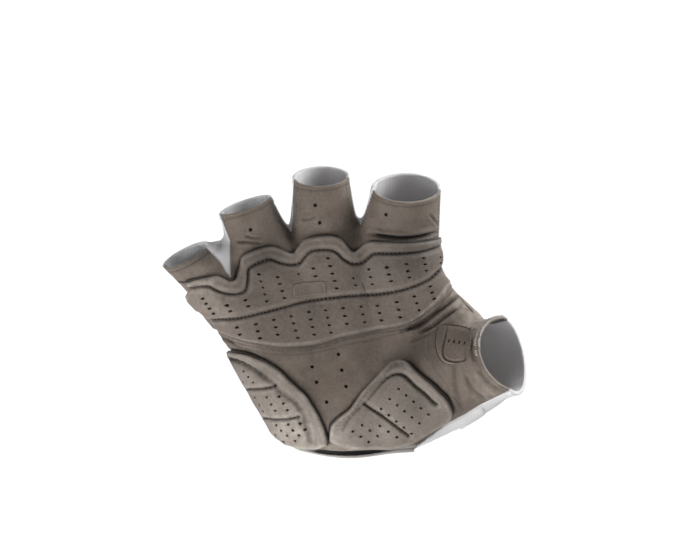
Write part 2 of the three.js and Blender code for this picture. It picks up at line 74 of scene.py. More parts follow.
STALL_ROUNDS = {
    "little": (-55.8, -5, 54.4, 10.2, -74.5, -9, 69.8, 7.9),
    "ring": (-42.9, -1, 66.6, 12.0, -51.7, -6, 90.0, 9.4),
    "middle": (-21.4, 1, 69.5, 12.8, -23.3, -7, 100.8, 9.7),
    "index": (4.4, -1, 70.2, 15.0, 8.6, -13, 97.2, 11.6),
    "thumb": (26.3, -13, 27.7, 15.0, 50.0, -28, 34.2, 14.2),
}

# Openings: middle, direction across, lean of the rim towards the back, half width
RIMS = {
    "little": ((-72.7, -8.5, 67.9), (0.876, 0.481), 0.32, 12),
    "ring": ((-50.4, -5.5, 86.4), (0.945, 0.327), 0.2, 12.5),
    "middle": ((-23.4, -6.5, 96.5), (0.999, 0.04), 0.4, 12.5),
    "index": ((8.1, -11, 92.5), (1, -0.02), 0.5, 14),
    "thumb": ((46.2, -24, 33.5), (0.465, -0.885), 1.1, 20),
    "thumb_back": ((44.5, -24, 33.5), (0.233, -0.972), 0.4, 20),
    "wrist": ((-2.5, 0, 2.2), (-0.995, -0.103), -0.36, 60),
    "wrist_thumb_corner": ((18.0, -13, 2.0), (-0.898, -0.44), 0.09, 18),
    "wrist_little_corner": ((-32.0, -5, -0.6), (-0.934, 0.357), 0, 14),
}


# The form

def round_field(p, row):
    """Distance to one tapered round and its gradient"""
    start, end = np.array(row[0:3], float), np.array(row[4:7], float)
    along = end - start
    length2 = along @ along
    raw = (p - start) @ along / length2
    t = np.clip(raw, 0, 1)
    away = p - start - t[:, None] * along
    reach = np.linalg.norm(away, axis=1)
    taper = row[7] - row[3]
    gradient = away / np.maximum(reach, 1e-6)[:, None]
    gradient -= np.where(raw == t, taper / length2, 0)[:, None] * along
    return reach - row[3] - taper * t, gradient


def blend(fields, width):
    """Smooth union of pairs of distance and gradient"""
    distances = np.stack([f[0] for f in fields])
    least = distances.min(0)
    weights = np.exp((least - distances) / width)
    total = weights.sum(0)
    gradient = sum(w[:, None] * f[1] for w, f in zip(weights, fields)) / total[:, None]
    return least - width * np.log(total), gradient


def form(p):
    """Signed distance to the outside of the glove's wall, with its gradient. The stalls
    blend into the palm more tightly than its own rounds blend"""
    palm = blend([round_field(p, row) for row in PALM_ROUNDS], PALM_BLEND)
    stalls = [round_field(p, row) for row in STALL_ROUNDS.values()]
    return blend([palm] + stalls, FINGER_BLEND)


def unit(v):
    return v / np.maximum(np.linalg.norm(v, axis=-1, keepdims=True), 1e-9)


def settle(p, rounds=3):
    """Moves points onto the form's surface"""
    for _ in range(rounds):
        distance, gradient = form(p)
        reach = np.clip(distance / np.maximum((gradient ** 2).sum(1), 0.05), -1, 1)
        p = p - reach[:, None] * gradient
    return p


def normals_at(p):
    return unit(form(p)[1])


# Surfaces are pairs of points and triangles

def surface_net(low, high, step):
    """Even triangles on the form inside a box"""
    axes = [np.arange(a, b, step) for a, b in zip(low, high)]
    counts = [len(a) for a in axes]
    inside = np.zeros(counts, bool)
    grid_x, grid_y = np.meshgrid(axes[0], axes[1], indexing="ij")
    for k, z in enumerate(axes[2]):
        layer = np.stack([grid_x.ravel(), grid_y.ravel(), np.full(grid_x.size, z)], 1)
        inside[:, :, k] = form(layer)[0].reshape(grid_x.shape) < 0
    corners = sum(
        inside[i:counts[0] - 1 + i, j:counts[1] - 1 + j, k:counts[2] - 1 + k].astype(np.int8)
        for i in (0, 1) for j in (0, 1) for k in (0, 1)
    )
    active = (corners > 0) & (corners < 8)
    number = np.full(active.shape, -1)
    number[active] = np.arange(active.sum())
    cells = np.argwhere(active)
    points = np.array(low) + (cells + 0.5) * step
    quads = []
    for axis in range(3):
        others = [a for a in range(3) if a != axis]
        ahead = np.roll(inside, -1, axis)
        change = inside != ahead
        trim = [slice(1, -1)] * 3
        trim[axis] = slice(0, -1)
        mask = np.zeros_like(change)
        mask[tuple(trim)] = change[tuple(trim)]
        where = np.argwhere(mask)
        ring = []
        for da, db in ((0, 0), (-1, 0), (-1, -1), (0, -1)):
            cell = where.copy()
            cell[:, others[0]] += da
            cell[:, others[1]] += db
            ring.append(number[cell[:, 0], cell[:, 1], cell[:, 2]])
        ring = np.stack(ring, 1)
        outward = inside[where[:, 0], where[:, 1], where[:, 2]]
        if axis == 1:
            outward = ~outward
        ring[outward] = ring[outward][:, ::-1]
        quads.append(ring)
    quads = np.concatenate(quads)
    quads = quads[(quads >= 0).all(1)]
    points = settle(points)
    for _ in range(6):
        points = settle(points + 0.6 * (neighbour_mean(points, quads) - points), 1)
    points = settle(points, 2)
    short = (
        np.linalg.norm(points[quads[:, 0]] - points[quads[:, 2]], axis=1)
        < np.linalg.norm(points[quads[:, 1]] - points[quads[:, 3]], axis=1)
    )
    a, b = quads[short], quads[~short]
    triangles = np.concatenate([a[:, [0, 1, 2]], a[:, [0, 2, 3]], b[:, [0, 1, 3]], b[:, [1, 2, 3]]])
    middle = points[triangles].mean(1)
    facing = np.cross(
        points[triangles[:, 1]] - points[triangles[:, 0]],
        points[triangles[:, 2]] - points[triangles[:, 0]],
    )
    flip = (facing * form(middle)[1]).sum(1) < 0
    triangles[flip] = triangles[flip][:, ::-1]
    return points, triangles


def sides_of(faces):
    """The two point numbers of each side of each face"""
    return np.stack([faces, np.roll(faces, -1, 1)], 2)


def neighbour_mean(points, faces):
    pairs = sides_of(faces).swapaxes(0, 1).reshape(-1, 2)
    pairs = np.concatenate([pairs, pairs[:, ::-1]])
    count = np.bincount(pairs[:, 0], minlength=len(points))
    total = np.stack([
        np.bincount(pairs[:, 0], weights=points[pairs[:, 1], axis], minlength=len(points))
        for axis in range(3)
    ], 1)
    return np.where(count[:, None] > 0, total / np.maximum(count, 1)[:, None], points)


def compact(points, triangles):
    """Leaves out the points that no triangle uses"""
    used = np.unique(triangles)
    number = np.full(len(points), -1)
    number[used] = np.arange(len(used))
    return points[used], number[triangles]


def part_of(surface, keep):
    """The triangles whose middles keep picks"""
    points, triangles = surface
    return compact(points, triangles[keep(points[triangles].mean(1))])


def edge_numbers(triangles, count):
    """A number for each side of each triangle, alike for both triangles that share it"""
    sides = sides_of(triangles)
    return sides.min(2) * count + sides.max(2)


def split(triangles, middle):
    """Splits triangles at the new points named for their sides, -1 where a side has none"""
    has = middle >= 0
    count = has.sum(1)
    parts = [triangles[count == 0]]
    a, b, c = triangles[count == 3].T
    ab, bc, ca = middle[count == 3].T
    parts += [np.stack(t, 1) for t in ((a, ab, ca), (b, bc, ab), (c, ca, bc), (ab, bc, ca))]
    for turn in range(3):
        order = [(turn + i) % 3 for i in range(3)]
        one = (count == 1) & has[:, order[0]]
        a, b, c = (triangles[one][:, i] for i in order)
        m = middle[one][:, order[0]]
        parts += [np.stack(t, 1) for t in ((a, m, c), (m, b, c))]
        two = (count == 2) & has[:, order[0]] & has[:, order[2]]
        a, b, c = (triangles[two][:, i] for i in order)
        p, q = middle[two][:, order[0]], middle[two][:, order[2]]
        parts += [np.stack(t, 1) for t in ((a, p, q), (p, b, c), (p, c, q))]
    return np.concatenate(parts)


def inscribe(surface, field, snap=0.07):
    """Adds the line where field is 0 to the edges of a surface. Points nearer to 0 than
    snap count as on it"""
    points, triangles = surface
    value = field(points)
    value = np.where(np.abs(value) < snap, 0, value)
    corner = value[triangles]
    following = np.roll(corner, -1, 1)
    crossing = corner * following < 0
    keys = edge_numbers(triangles, len(points))
    wanted, back = np.unique(keys[crossing], return_inverse=True)
    first, second = wanted // len(points), wanted % len(points)
    share = (value[first] / (value[first] - value[second]))[:, None]
    added = points[first] + share * (points[second] - points[first])
    cut = np.full(triangles.shape, -1)
    cut[crossing] = len(points) + back.ravel()
    return np.concatenate([points, added]), split(triangles, cut)


def everywhere(p):
    return np.ones(len(p), bool)


def refine(surface, near=everywhere, keep_border=True):
    """Splits the triangles that near picks into four, and their neighbours to match"""
    points, triangles = surface
    keys = edge_numbers(triangles, len(points))
    picked = near(points[triangles].mean(1))
    marked = np.unique(keys[picked])
    if keep_border:
        names, times = np.unique(keys, return_counts=True)
        marked = np.setdiff1d(marked, names[times == 1])
    first, second = marked // len(points), marked % len(points)
    added = (points[first] + points[second]) / 2
    slot = np.minimum(np.searchsorted(marked, keys), len(marked) - 1)
    middle = np.where(marked[slot] == keys, len(points) + slot, -1)
    return np.concatenate([points, added]), split(triangles, middle)


def finer(surface, near=everywhere, keep_border=True):
    """A refined surface whose points lie on the form again"""
    points, triangles = refine(surface, near, keep_border)
    return settle(points), triangles


def boundary(triangles, count):
    """Edges that only one triangle uses, in its own direction"""
    keys = edge_numbers(triangles, count)
    names, times = np.unique(keys, return_counts=True)
    alone = np.isin(keys, names[times == 1])
    return sides_of(triangles)[alone]


# Lines drawn on the glove, seen from the palm side

LINE_STEP = 0.7


def smooth_line(points, closed=False):
    """A Catmull-Rom curve through a few points, as x and z"""
    p = np.array(points, float)
    if closed:
        p = np.concatenate([p[-1:], p, p[:2]])
    else:
        p = np.concatenate([2 * p[:1] - p[1:2], p, 2 * p[-1:] - p[-2:-1]])
    line = []
    for a, b, c, d in zip(p[:-3], p[1:-2], p[2:-1], p[3:]):
        step = LINE_STEP / max(np.linalg.norm(c - b), LINE_STEP)
        t = np.arange(0, 1, min(0.5, step))[:, None]
        line.append(0.5 * (2 * b + (c - a) * t + (2 * a - 5 * b + 4 * c - d) * t ** 2
                           + (3 * b - a - 3 * c + d) * t ** 3))
    if not closed:
        line.append(p[-2:-1])
    return np.concatenate(line)


def nearest_on(line, p, closed=False):
    """Distance in the x-z plane, place along the line, and direction to it"""
    xz = p[:, [0, 2]]
    start = line
    end = np.roll(line, -1, 0)
    if not closed:
        start, end = line[:-1], line[1:]
    side = end - start
    length = np.linalg.norm(side, axis=1)
    travelled = np.concatenate([[0], np.cumsum(length)[:-1]])
    best = np.full(len(xz), np.inf)
    place = np.zeros(len(xz))
    across = np.zeros((len(xz), 2))
    for a, d, size, before in zip(start, side, length, travelled):
        t = np.clip((xz - a) @ d / (size * size), 0, 1)
        away = np.hypot(xz[:, 0] - a[0] - t * d[0], xz[:, 1] - a[1] - t * d[1])
        nearer = away < best
        best[nearer] = away[nearer]
        place[nearer] = before + t[nearer] * size
        across[nearer] = (-d[1] / size, d[0] / size)
    return best, place, across


def on_surface(distance, across, p):
    """Turns a distance seen from the front into one along the surface"""
    normal = normals_at(p)
    slant = across[:, 0] * normal[:, 0] + across[:, 1] * normal[:, 2]
    return distance / np.sqrt(np.maximum(1 - slant ** 2, LEAST_SLANT))


def shifted(line, reach):
    """A line moved sideways, to the left of its direction when reach is above 0"""
    along = unit(np.gradient(line, axis=0))
    return line + reach * np.stack([-along[:, 1], along[:, 0]], 1)


def line_distance(line, p):
    distance, _, across = nearest_on(line, p)
    return on_surface(distance, across, p)


def depth_inside(line, p, slanted=True):
    """Distance to a closed line, above 0 inside it"""
    distance, _, across = nearest_on(line, p, True)
    if slanted:
        distance = on_surface(distance, across, p)
    x, z = p[:, 0], p[:, 2]
    inside = np.zeros(len(p), bool)
    for (ax, az), (bx, bz) in zip(line, np.roll(line, -1, 0)):
        if az != bz:
            crosses = ((az > z) != (bz > z)) & (x < (bx - ax) * (z - az) / (bz - az) + ax)
            inside ^= crosses
    return np.where(inside, distance, -distance)


def sight(spots, rise=0.0):
    """Lines of sight from the palm side towards the form raised by rise: where they stop
    and which of them meet it"""
    spots = np.array(spots, float)
    p = np.stack([spots[:, 0], np.full(len(spots), -60.0), spots[:, 1]], 1)
    for _ in range(60):
        p[:, 1] += np.minimum(form(p)[0] - rise, 6)
    return p, np.abs(form(p)[0] - rise) < 0.05


def front_points(spots, rise=0.0):
    """Points of the form below the places where lines of sight meet it, and normals"""
    p, met = sight(spots, rise)
    p = p[met]
    normals = normals_at(p)
    return p - rise * normals, normals


def facing(p):
    """0 where the form turns away from the palm side, 1 where it faces it"""
    return smooth(-normals_at(p)[:, 1], 0.05, 0.6)


def raised(p, rise):
    """Points above the form, where the relief that covers them shows"""
    return p + rise * normals_at(p)


def ramp(value, low, high):
    return np.clip((value - low) / (high - low), 0, 1)


def smooth(value, low, high):
    t = ramp(value, low, high)
    return t * t * (3 - 2 * t)


def ridge(distance, width):
    """1 on a line, falling to 0 on both sides of it"""
    return np.exp(-(distance / width) ** 2)


# Seam between the leather front and the fabric behind it: its depth, and how it curls
# back along the stalls, slopes round the thumb and wraps the little finger's side

SEAM_DEPTH = -1
SEAM_CURL = 0.22
SEAM_INDEX_CURL = 0.2
SEAM_THUMB_SLOPE = 0.6
SEAM_THUMB_START = 14
SEAM_LITTLE_DROP = 4
SEAM_LITTLE_LEAN = 0.7
SEAM_OUTER_WRAP = 6


def seam_field(p):
    """Below 0 on the leather side of the seam"""
    x, y, z = p.T
    root_height = 66 + 0.2 * np.minimum(0, x + 20)
    curl = (SEAM_CURL + SEAM_INDEX_CURL * ramp(x, -12, 0)) * np.maximum(0, z - root_height)
    thumb = SEAM_THUMB_SLOPE * np.maximum(0, x - SEAM_THUMB_START) * ramp(z, 70, 60)
    little = SEAM_LITTLE_DROP * ramp(x + SEAM_LITTLE_LEAN * np.maximum(0, z - 60), -44, -54)
    outer_line = -30 - 0.76 * z
    wrap = SEAM_OUTER_WRAP * ramp(x - outer_line, 18, 4) * ramp(z, 62, 52)
    return y - (SEAM_DEPTH - curl - thumb - little + wrap)


LEATHER_CORNER = np.array([
    (70, 28), (44.6, 20.2), (39.6, 17.6), (34.2, 14.8), (28.8, 11.5),
    (23.4, 8.6), (18.0, 4.7), (12.6, 0.7), (10.4, -1.4), (8, -30), (70, -30),
])
THUMB_ZONE = np.array([
    (24.6, 62), (22.3, 50.4), (17.6, 45.7), (15.5, 39.6), (15.5, 33.5), (17.6, 27.7),
    (21.2, 22.7), (24.5, 17.6), (27.0, 13.3), (29.4, 4), (80, 4), (80, 62),
])
BINDING_WIDTH = 2.5


def corner_field(p):
    """Above 0 below the thumb, where the fabric comes round to the palm side"""
    return depth_inside(LEATHER_CORNER, p, False)


def thumb_field(p):
    """Above 0 on the thumb panel"""
    return depth_inside(THUMB_ZONE, p, False)


def rim_frame(name):
    """An opening's middle, the direction across it, the normal out of it and half width"""
    middle, (ux, uz), lean, half = RIMS[name]
    u = unit(np.array([ux, 0, uz]))
    w = unit(np.array([-u[2] * lean, 1, u[0] * lean]))
    return np.array(middle, float), u, np.cross(u, w), half


def rim_field(name, p, shift=0):
    """Above 0 beyond an opening's rim"""
    middle, u, n, half = rim_frame(name)
    beyond = (p - middle) @ n - shift
    return np.minimum(beyond, half - np.abs((p - middle) @ u))


def beyond_rims(p):
    return np.max([rim_field(name, p) for name in RIMS], axis=0)


def near_rims(p):
    """Above 0 where walls round off towards an opening, and beyond it"""
    return np.max([rim_field(name, p, -EDGE) for name in RIMS], axis=0)


# The palm side spans the hollows between the roots of the fingers

BRIDGE_LOW = np.array([-86.0, -8.0])
BRIDGE_STEP = 1.5
BRIDGE_CELLS = (96, 60)
BRIDGE_SPAN = 6
BRIDGE_MOST = 3.2


def bridge_grid():
    """Depth of the hollows narrower than the span, over a grid of x and z"""
    axes = [np.arange(n) * BRIDGE_STEP for n in BRIDGE_CELLS]
    spots = np.stack(np.meshgrid(*axes, indexing="ij"), -1)
    p, met = sight(spots.reshape(-1, 2) + BRIDGE_LOW)
    level = np.where(met, -p[:, 1], -30.0).reshape(BRIDGE_CELLS)
    turns = range(-BRIDGE_SPAN, BRIDGE_SPAN + 1)
    closed = np.max([np.roll(level, turn, 0) for turn in turns], axis=0)
    closed = np.min([np.roll(closed, turn, 0) for turn in turns], axis=0)
    depth = np.clip(closed - level, 0, BRIDGE_MOST)
    weights = np.array([math.exp(-(i * BRIDGE_STEP / 3.0) ** 2) for i in range(-3, 4)])
    for axis in (0, 1):
        depth = sum(w * np.roll(depth, i - 3, axis) for i, w in enumerate(weights)) / weights.sum()
    return depth


BRIDGE = bridge_grid()


def bridged(p):
    """Points moved towards the palm side where the glove spans a hollow"""
    place = (p[:, [0, 2]] - BRIDGE_LOW) / BRIDGE_STEP
    place = np.clip(place, 0, np.array(BRIDGE.shape) - 1.001)
    corner = place.astype(int)
    t = place - corner
    depth = sum(
        np.where(i, t[:, 0], 1 - t[:, 0]) * np.where(j, t[:, 1], 1 - t[:, 1])
        * BRIDGE[corner[:, 0] + i, corner[:, 1] + j]
        for i in (0, 1) for j in (0, 1)
    )
    share = facing(p) * smooth(-notch_field(p), 0.5, 6) * smooth(p[:, 2], 77, 69)
    depth *= share * smooth(p[:, 0], 15, 7)
    return p - depth[:, None] * np.array([0, 1, 0])


# Regions. A piece's fields are below 0 inside it

FOURCHETTE_WIDTH = 6
CROTCH_NOTCHES = tuple(np.array(notch) for notch in (
    (
        (-66.6, 76.7), (-59.7, 83.4), (-57.7, 78.5), (-55.7, 73.6), (-55.3, 66.1), (-55.1, 60.1),
        (-57.2, 62.3), (-59.0, 65.5), (-62.3, 69.1), (-65.2, 72.0),
    ),
    ((-41.0, 90.7), (-33.5, 92.0), (-33.1, 84.0), (-33.6, 76.2), (-36.0, 79.9), (-38.5, 84.6)),
    (
        (-12.2, 93.2), (-4.0, 92.9), (-5.4, 88.2), (-7.6, 83.2), (-9.0, 78.8), (-10.4, 83.9),
        (-11.5, 88.2),
    ),
))
STRIP_ZONES = {
    "fourchette_little_ring": (
        (-52, 50), (-43, 50), (-43.2, 66.6), (-54, 99), (-75, 99), (-83, 82), (-55.8, 54.4),
    ),
    "fourchette_ring_middle": (
        (-43, 60), (-22.3, 60), (-22.3, 69.5), (-23.6, 106), (-45, 106), (-55.5, 100),
        (-43.2, 66.6),
    ),
    "fourchette_middle_index": (
        (-22, 62), (5, 62), (5.4, 70.2), (8.9, 103), (-6, 108), (-23.6, 106), (-22.3, 69.5),
    ),
}


def notch_field(p):
    """Above 0 in the notches between the stalls"""
    return np.max([depth_inside(notch, p, False) for notch in CROTCH_NOTCHES], axis=0)


def seam_side(field, sign):
    """Below 0 on one side of a seam, half a gap away from it"""
    return lambda p: SEAM_GAP / 2 + sign * field(p)


leather_seam, fabric_seam = seam_side(seam_field, 1), seam_side(seam_field, -1)
leather_corner, fabric_corner = seam_side(corner_field, 1), seam_side(corner_field, -1)
leather_notch, fabric_notch = seam_side(notch_field, 1), seam_side(notch_field, -1)
leather_of_palm, leather_of_thumb = seam_side(thumb_field, 1), seam_side(thumb_field, -1)


def within(fields):
    """Below 0 where all the fields are"""
    return lambda p: np.max([field(p) for field in fields], axis=0)


def fabric_field(p):
    return np.min([fabric_seam(p), fabric_corner(p), fabric_notch(p)], axis=0)


def strip_depth(p):
    return seam_field(p) - FOURCHETTE_WIDTH


def zone_field(name, p):
    return -depth_inside(np.array(STRIP_ZONES[name], float), p, False)


def binding_field(p, gap):
    return rim_field("wrist", p, -BINDING_WIDTH) + gap


def rim_lines(names):
    return [lambda p, name=name: rim_field(name, p) for name in names]


def cut_out(surface, lines, region, edge=EDGE):
    """The part of a surface inside a region, with rings along its edges for their rounding"""
    surface = part_of(surface, lambda p: region(p) < CUT_MARGIN)
    for line in lines:
        surface = inscribe(surface, line)
        surface = inscribe(surface, lambda p: line(p) + edge)
    points, triangles = part_of(surface, lambda p: region(p) < 0)
    return settle(points), triangles


# Meshes

def placed(name, data):
    """A new object in the scene"""
    thing = bpy.data.objects.new(name, data)
    bpy.context.scene.collection.objects.link(thing)
    return thing


def write_mesh(name, points, faces, face_materials, materials, values):
    """An object in metres. faces is a list of arrays, values are kept for each point"""
    mesh = bpy.data.meshes.new(name)
    mesh.vertices.add(len(points))
    mesh.vertices.foreach_set("co", (points * MM).astype(np.float32).ravel())
    sizes = np.array([f.shape[1] for f in faces for _ in range(len(f))], np.int32)
    loops = np.concatenate([f.ravel() for f in faces]).astype(np.int32)
    mesh.loops.add(len(loops))
    mesh.loops.foreach_set("vertex_index", loops)
    mesh.polygons.add(len(sizes))
    starts = np.concatenate([[0], np.cumsum(sizes)[:-1]]).astype(np.int32)
    mesh.polygons.foreach_set("loop_start", starts)
    mesh.polygons.foreach_set("material_index", face_materials.astype(np.int32))
    for material in materials:
        mesh.materials.append(material)
    mesh.update(calc_edges=True)
    mesh.validate()
    mesh.shade_smooth()
    mesh.set_sharp_from_angle(angle=math.radians(SHARP_ANGLE))
    for key, value in values.items():
        attribute = mesh.attributes.new(key, "FLOAT", "POINT")
        attribute.data.foreach_set("value", value.astype(np.float32))
    piece = placed(name, mesh)
    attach(piece, "root")
    return piece


def edge_drop(region, p, edge=EDGE):
    """Rounds a border: the surface falls towards the edge of its region"""
    t = ramp(region(p), -edge, 0)
    return EDGE_DROP * t * t


def shell(name, outside, inside, rounded, relief, floor, materials, edge=EDGE):
    """A wall between two sheets that share their border. It is rounded off where the field
    rounded comes near 0. relief gives the height of the outer sheet, its painted shade, and how
    much paler it is where rubbed and where light is painted on. floor is the height of the inner
    sheet"""
    count = len(outside[0])
    height, shade, wear_and_painted_light = relief(outside[0])
    height = height - edge_drop(rounded, outside[0], edge)
    low = floor + edge_drop(rounded, inside[0], edge)
    points = np.concatenate([
        bridged(outside[0]) + normals_at(outside[0]) * height[:, None],
        bridged(inside[0]) + normals_at(inside[0]) * low[:, None],
    ])
    rim = boundary(outside[1], count)
    walls = np.stack([rim[:, 1], rim[:, 0], rim[:, 0] + count, rim[:, 1] + count], 1)
    faces = [outside[1], inside[1][:, ::-1] + count, walls]
    kinds = np.concatenate([np.full(len(f), kind) for kind, f in enumerate(faces)])
    rest = np.zeros(len(inside[0]))
    values = {"shade": np.concatenate([shade, rest]), "wear_and_painted_light": np.concatenate([wear_and_painted_light, rest])}
    return write_mesh(name, points, faces, kinds, materials, values)


# Strands and rows of stitches

STRAND_SIDES = 6
STRAND_STEPS = 5
STRAND_SINK = 0.12


def thread(points, normals, radius):
    """A short round strand through points, with rounded ends"""
    rings = []
    sides, steps = STRAND_SIDES, STRAND_STEPS
    along = unit(np.gradient(points, axis=0))
    across = unit(np.cross(along, normals))
    up = np.cross(across, along)
    for i in range(steps):
        size = radius * math.sqrt(max(0.04, 1 - abs(2 * i / (steps - 1) - 1) ** 6))
        for j in range(sides):
            angle = 2 * math.pi * j / sides
            rings.append(points[i] + size * (math.cos(angle) * across[i] + math.sin(angle) * up[i]))
    quads = []
    for i in range(steps - 1):
        for j in range(sides):
            a, b = i * sides + j, i * sides + (j + 1) % sides
            quads.append((a, b, b + sides, a + sides))
    caps = [tuple(range(sides))[::-1], tuple(range((steps - 1) * sides, steps * sides))]
    return np.array(rings), np.array(quads), np.array(caps)


def stitches(name, rows, material):
    """One mesh of strands. A row is a middle, half the strand, a normal, lift and radius"""
    points, quads, caps, total = [], [], [], 0
    u = np.linspace(-1, 1, STRAND_STEPS)[:, None]
    for centre, half, normal, lift, radius in rows:
        path = centre + half * u + normal * (lift * (1 - u ** 2) - STRAND_SINK * u ** 2)
        p, q, c = thread(path, np.repeat(normal[None], STRAND_STEPS, 0), radius)
        points.append(p)
        quads.append(q + total)
        caps.append(c + total)
        total += len(p)
    points = np.concatenate(points)
    faces = [np.concatenate(quads), np.concatenate(caps)]
    kinds = np.zeros(len(faces[0]) + len(faces[1]), int)
    piece = write_mesh(name, points, faces, kinds, [material], {})
    return piece


def spaced(line, pitch):
    """Points and directions at even spacing along a line of any dimension"""
    length = np.concatenate([[0], np.cumsum(np.linalg.norm(np.diff(line, axis=0), axis=1))])
    at = np.arange(pitch / 2, length[-1], pitch)
    places, ahead, behind = (
        np.stack([np.interp(at + shift, length, column) for column in line.T], 1)
        for shift in (0, 0.2, -0.2)
    )
    return places, unit(ahead - behind)


def strands(middles, normals, along, kind, height, turn):
    """A strand on each middle, turned from the direction along. A kind of stitch is its
    pitch, length, radius and lift"""
    _, size, radius, lift = kind
    turned = along * math.cos(turn) + np.cross(normals, along) * math.sin(turn)
    return [
        (m + n * h, a * size / 2, n, lift, radius)
        for m, n, a, h in zip(bridged(middles), normals, turned, height(middles))
    ]


def row_on_front(line, kind, height, rise, turn=0.0):
    """Stitches along a line seen from the palm side, at a height above the form"""
    middles, normals = front_points(spaced(line, kind[0])[0], rise)
    along = unit(np.gradient(middles, axis=0))
    return strands(middles, normals, along, kind, height, turn)


def chains(pairs):
    """Orders loose edges into lines of vertex numbers"""
    following = {}
    for a, b in pairs:
        following.setdefault(a, []).append(b)
        following.setdefault(b, []).append(a)
    starts = sorted(following, key=lambda v: (len(following[v]) != 1, v))
    used, lines = set(), []
    for start in starts:
        if start in used:
            continue
        line, here = [start], start
        used.add(start)
        while True:
            ahead = [v for v in following[here] if v not in used]
            if not ahead:
                break
            here = ahead[0]
            used.add(here)
            line.append(here)
        if len(line) > 6:
            lines.append(np.array(line))
    return lines


def level_lines(surface, field, keep):
    """Lines on a surface where a field is 0, as points"""
    points, triangles = inscribe(surface, field)
    points = settle(points, 2)
    on_line = np.abs(field(points)) < 0.05
    sides = sides_of(triangles).reshape(-1, 2)
    sides = np.unique(np.sort(sides[on_line[sides].all(1)], 1), axis=0)
    sides = sides[keep(points[sides].mean(1))]
    return [points[line] for line in chains(sides.tolist())]


def rows_on_lines(lines, kind, height, turn=0.0):
    """Stitches along lines that lie on the form"""
    rows = []
    for line in lines:
        middles, along = spaced(line, kind[0])
        if len(middles) > 2:
            middles = settle(middles)
            rows += strands(middles, normals_at(middles), along, kind, height, turn)
    return rows


def frayed_edge(surface, name, keep):
    """Uneven strands across the wall where a surface ends at an opening's rim"""
    rng = np.random.default_rng(8)
    axis = rim_frame(name)[2]
    rows = []
    for line in level_lines(surface, lambda p: rim_field(name, p), keep):
        middles, along = spaced(line, 0.7)
        for m, n, a in zip(bridged(middles), normals_at(middles), along):
            half = rng.uniform(0.55, 0.95) * n + rng.uniform(-0.15, 0.6) * a
            rows.append((m + 0.2 * axis - 0.35 * n, half, axis, 0.25, 0.18))
    return rows


# Lines of the pads and folds, as x and z in millimetres

KNUCKLE_TOP = smooth_line([
    (-71.2, 58.9), (-67.4, 59.8), (-63.0, 60.7), (-60.1, 61.0), (-58.0, 60.1), (-55.8, 59.0),
    (-53.9, 59.4), (-52.6, 63.0), (-51.6, 67.3), (-49.6, 69.0), (-46.8, 70.2), (-43.2, 71.3),
    (-40.7, 71.5), (-38.5, 70.9), (-34.4, 68.9), (-32.4, 69.8), (-30.6, 71.6), (-29.2, 73.8),
    (-27.0, 74.7), (-23.4, 75.2), (-19.8, 75.4), (-17.3, 74.9), (-15.5, 73.8), (-13.7, 71.6),
    (-11.4, 69.7), (-8.6, 71.3), (-4.7, 73.4), (5.4, 73.1), (12.6, 73.4), (19.1, 74.5), (29, 76.2),
])
KNUCKLE_BOTTOM = smooth_line([
    (-82, 52), (-66, 44.6), (-58.7, 40.0), (-54.0, 36.7), (-48.6, 35.3), (-41.4, 34.4),
    (-34.2, 34.0), (-27.0, 34.6), (-19.8, 36.0), (-12.6, 37.8), (-5.4, 39.2), (1.8, 41.0),
    (7.2, 42.1), (10.8, 44.3), (16.2, 47.9), (20.2, 52.2), (26, 60), (31, 70),
])
KNUCKLE_OUTLINE = np.concatenate([
    KNUCKLE_TOP, KNUCKLE_BOTTOM[::-1], [(-71.6, 53.6), (-70.4, 56.0)],
])
KNUCKLE_CREASE = smooth_line([
    (-80, 55.2), (-70.2, 56.5), (-63.7, 57.2), (-61.2, 56.2), (-58.7, 55.1), (-55.8, 54.4),
    (-52.2, 54.5), (-50.0, 55.8), (-49.3, 59.4), (-48.9, 63.0), (-47.4, 64.5), (-42.8, 66.4),
    (-40.7, 66.6), (-37.8, 65.5), (-34.2, 64.8), (-30.6, 65.5), (-28.4, 68.0), (-26.3, 69.7),
    (-22.7, 70.2), (-19.1, 70.0), (-16.9, 68.8), (-15.1, 67.0), (-12.6, 65.5), (-10.1, 65.2),
    (-7.6, 65.9), (-5.4, 67.7), (-3.2, 68.9), (5.4, 68.9), (12.6, 69.5), (16.9, 70.6), (22, 72.4),
    (28, 74.2),
])
KNUCKLE_DIVIDER = smooth_line([
    (-62.3, 45.2), (-55.8, 45.4), (-50.4, 46.1), (-39.6, 48.6), (-28.8, 51.5), (-16.2, 53.3),
    (-1.8, 54.4), (5.4, 55.6), (10.8, 57.2), (15.5, 59.4), (19.1, 62.6), (25, 69.0),
])
KNUCKLE_LOWER_CREASE = smooth_line([
    (-66, 48.5), (-62.3, 45.0), (-59.4, 42.1), (-55.8, 40.0), (-50.4, 38.2), (-44.3, 37.1),
    (-37.8, 36.4), (-30.6, 36.5), (-23.4, 37.4), (-16.2, 39.6), (-9.0, 41.0), (-1.8, 42.5),
    (5.4, 43.6), (10.8, 45.7), (16.2, 49.7), (19.8, 53.3), (25, 61.5),
])
FINGER_SIDE = [(45, 75), (45, 110), (-95, 110), (-95, 60)]
KNUCKLE_CELLS = np.concatenate([KNUCKLE_LOWER_CREASE, FINGER_SIDE])
SEAM_BAND = np.concatenate([KNUCKLE_BOTTOM - (0.2, 0.9), FINGER_SIDE])
OUTER_HEEL_EDGE = smooth_line([
    (-73, 33.6), (-56.5, 33.8), (-52.2, 33.5), (-48.6, 32.8), (-45.0, 31.3), (-41.4, 29.5),
    (-37.8, 27.0), (-34.2, 23.4), (-30.6, 20.2), (-28.2, 18.0), (-26.2, 14.8), (-24.1, 11.5),
    (-22.3, 7.6), (-21.2, 5.0), (-20.5, 2.5), (-20.4, 0.6),
])
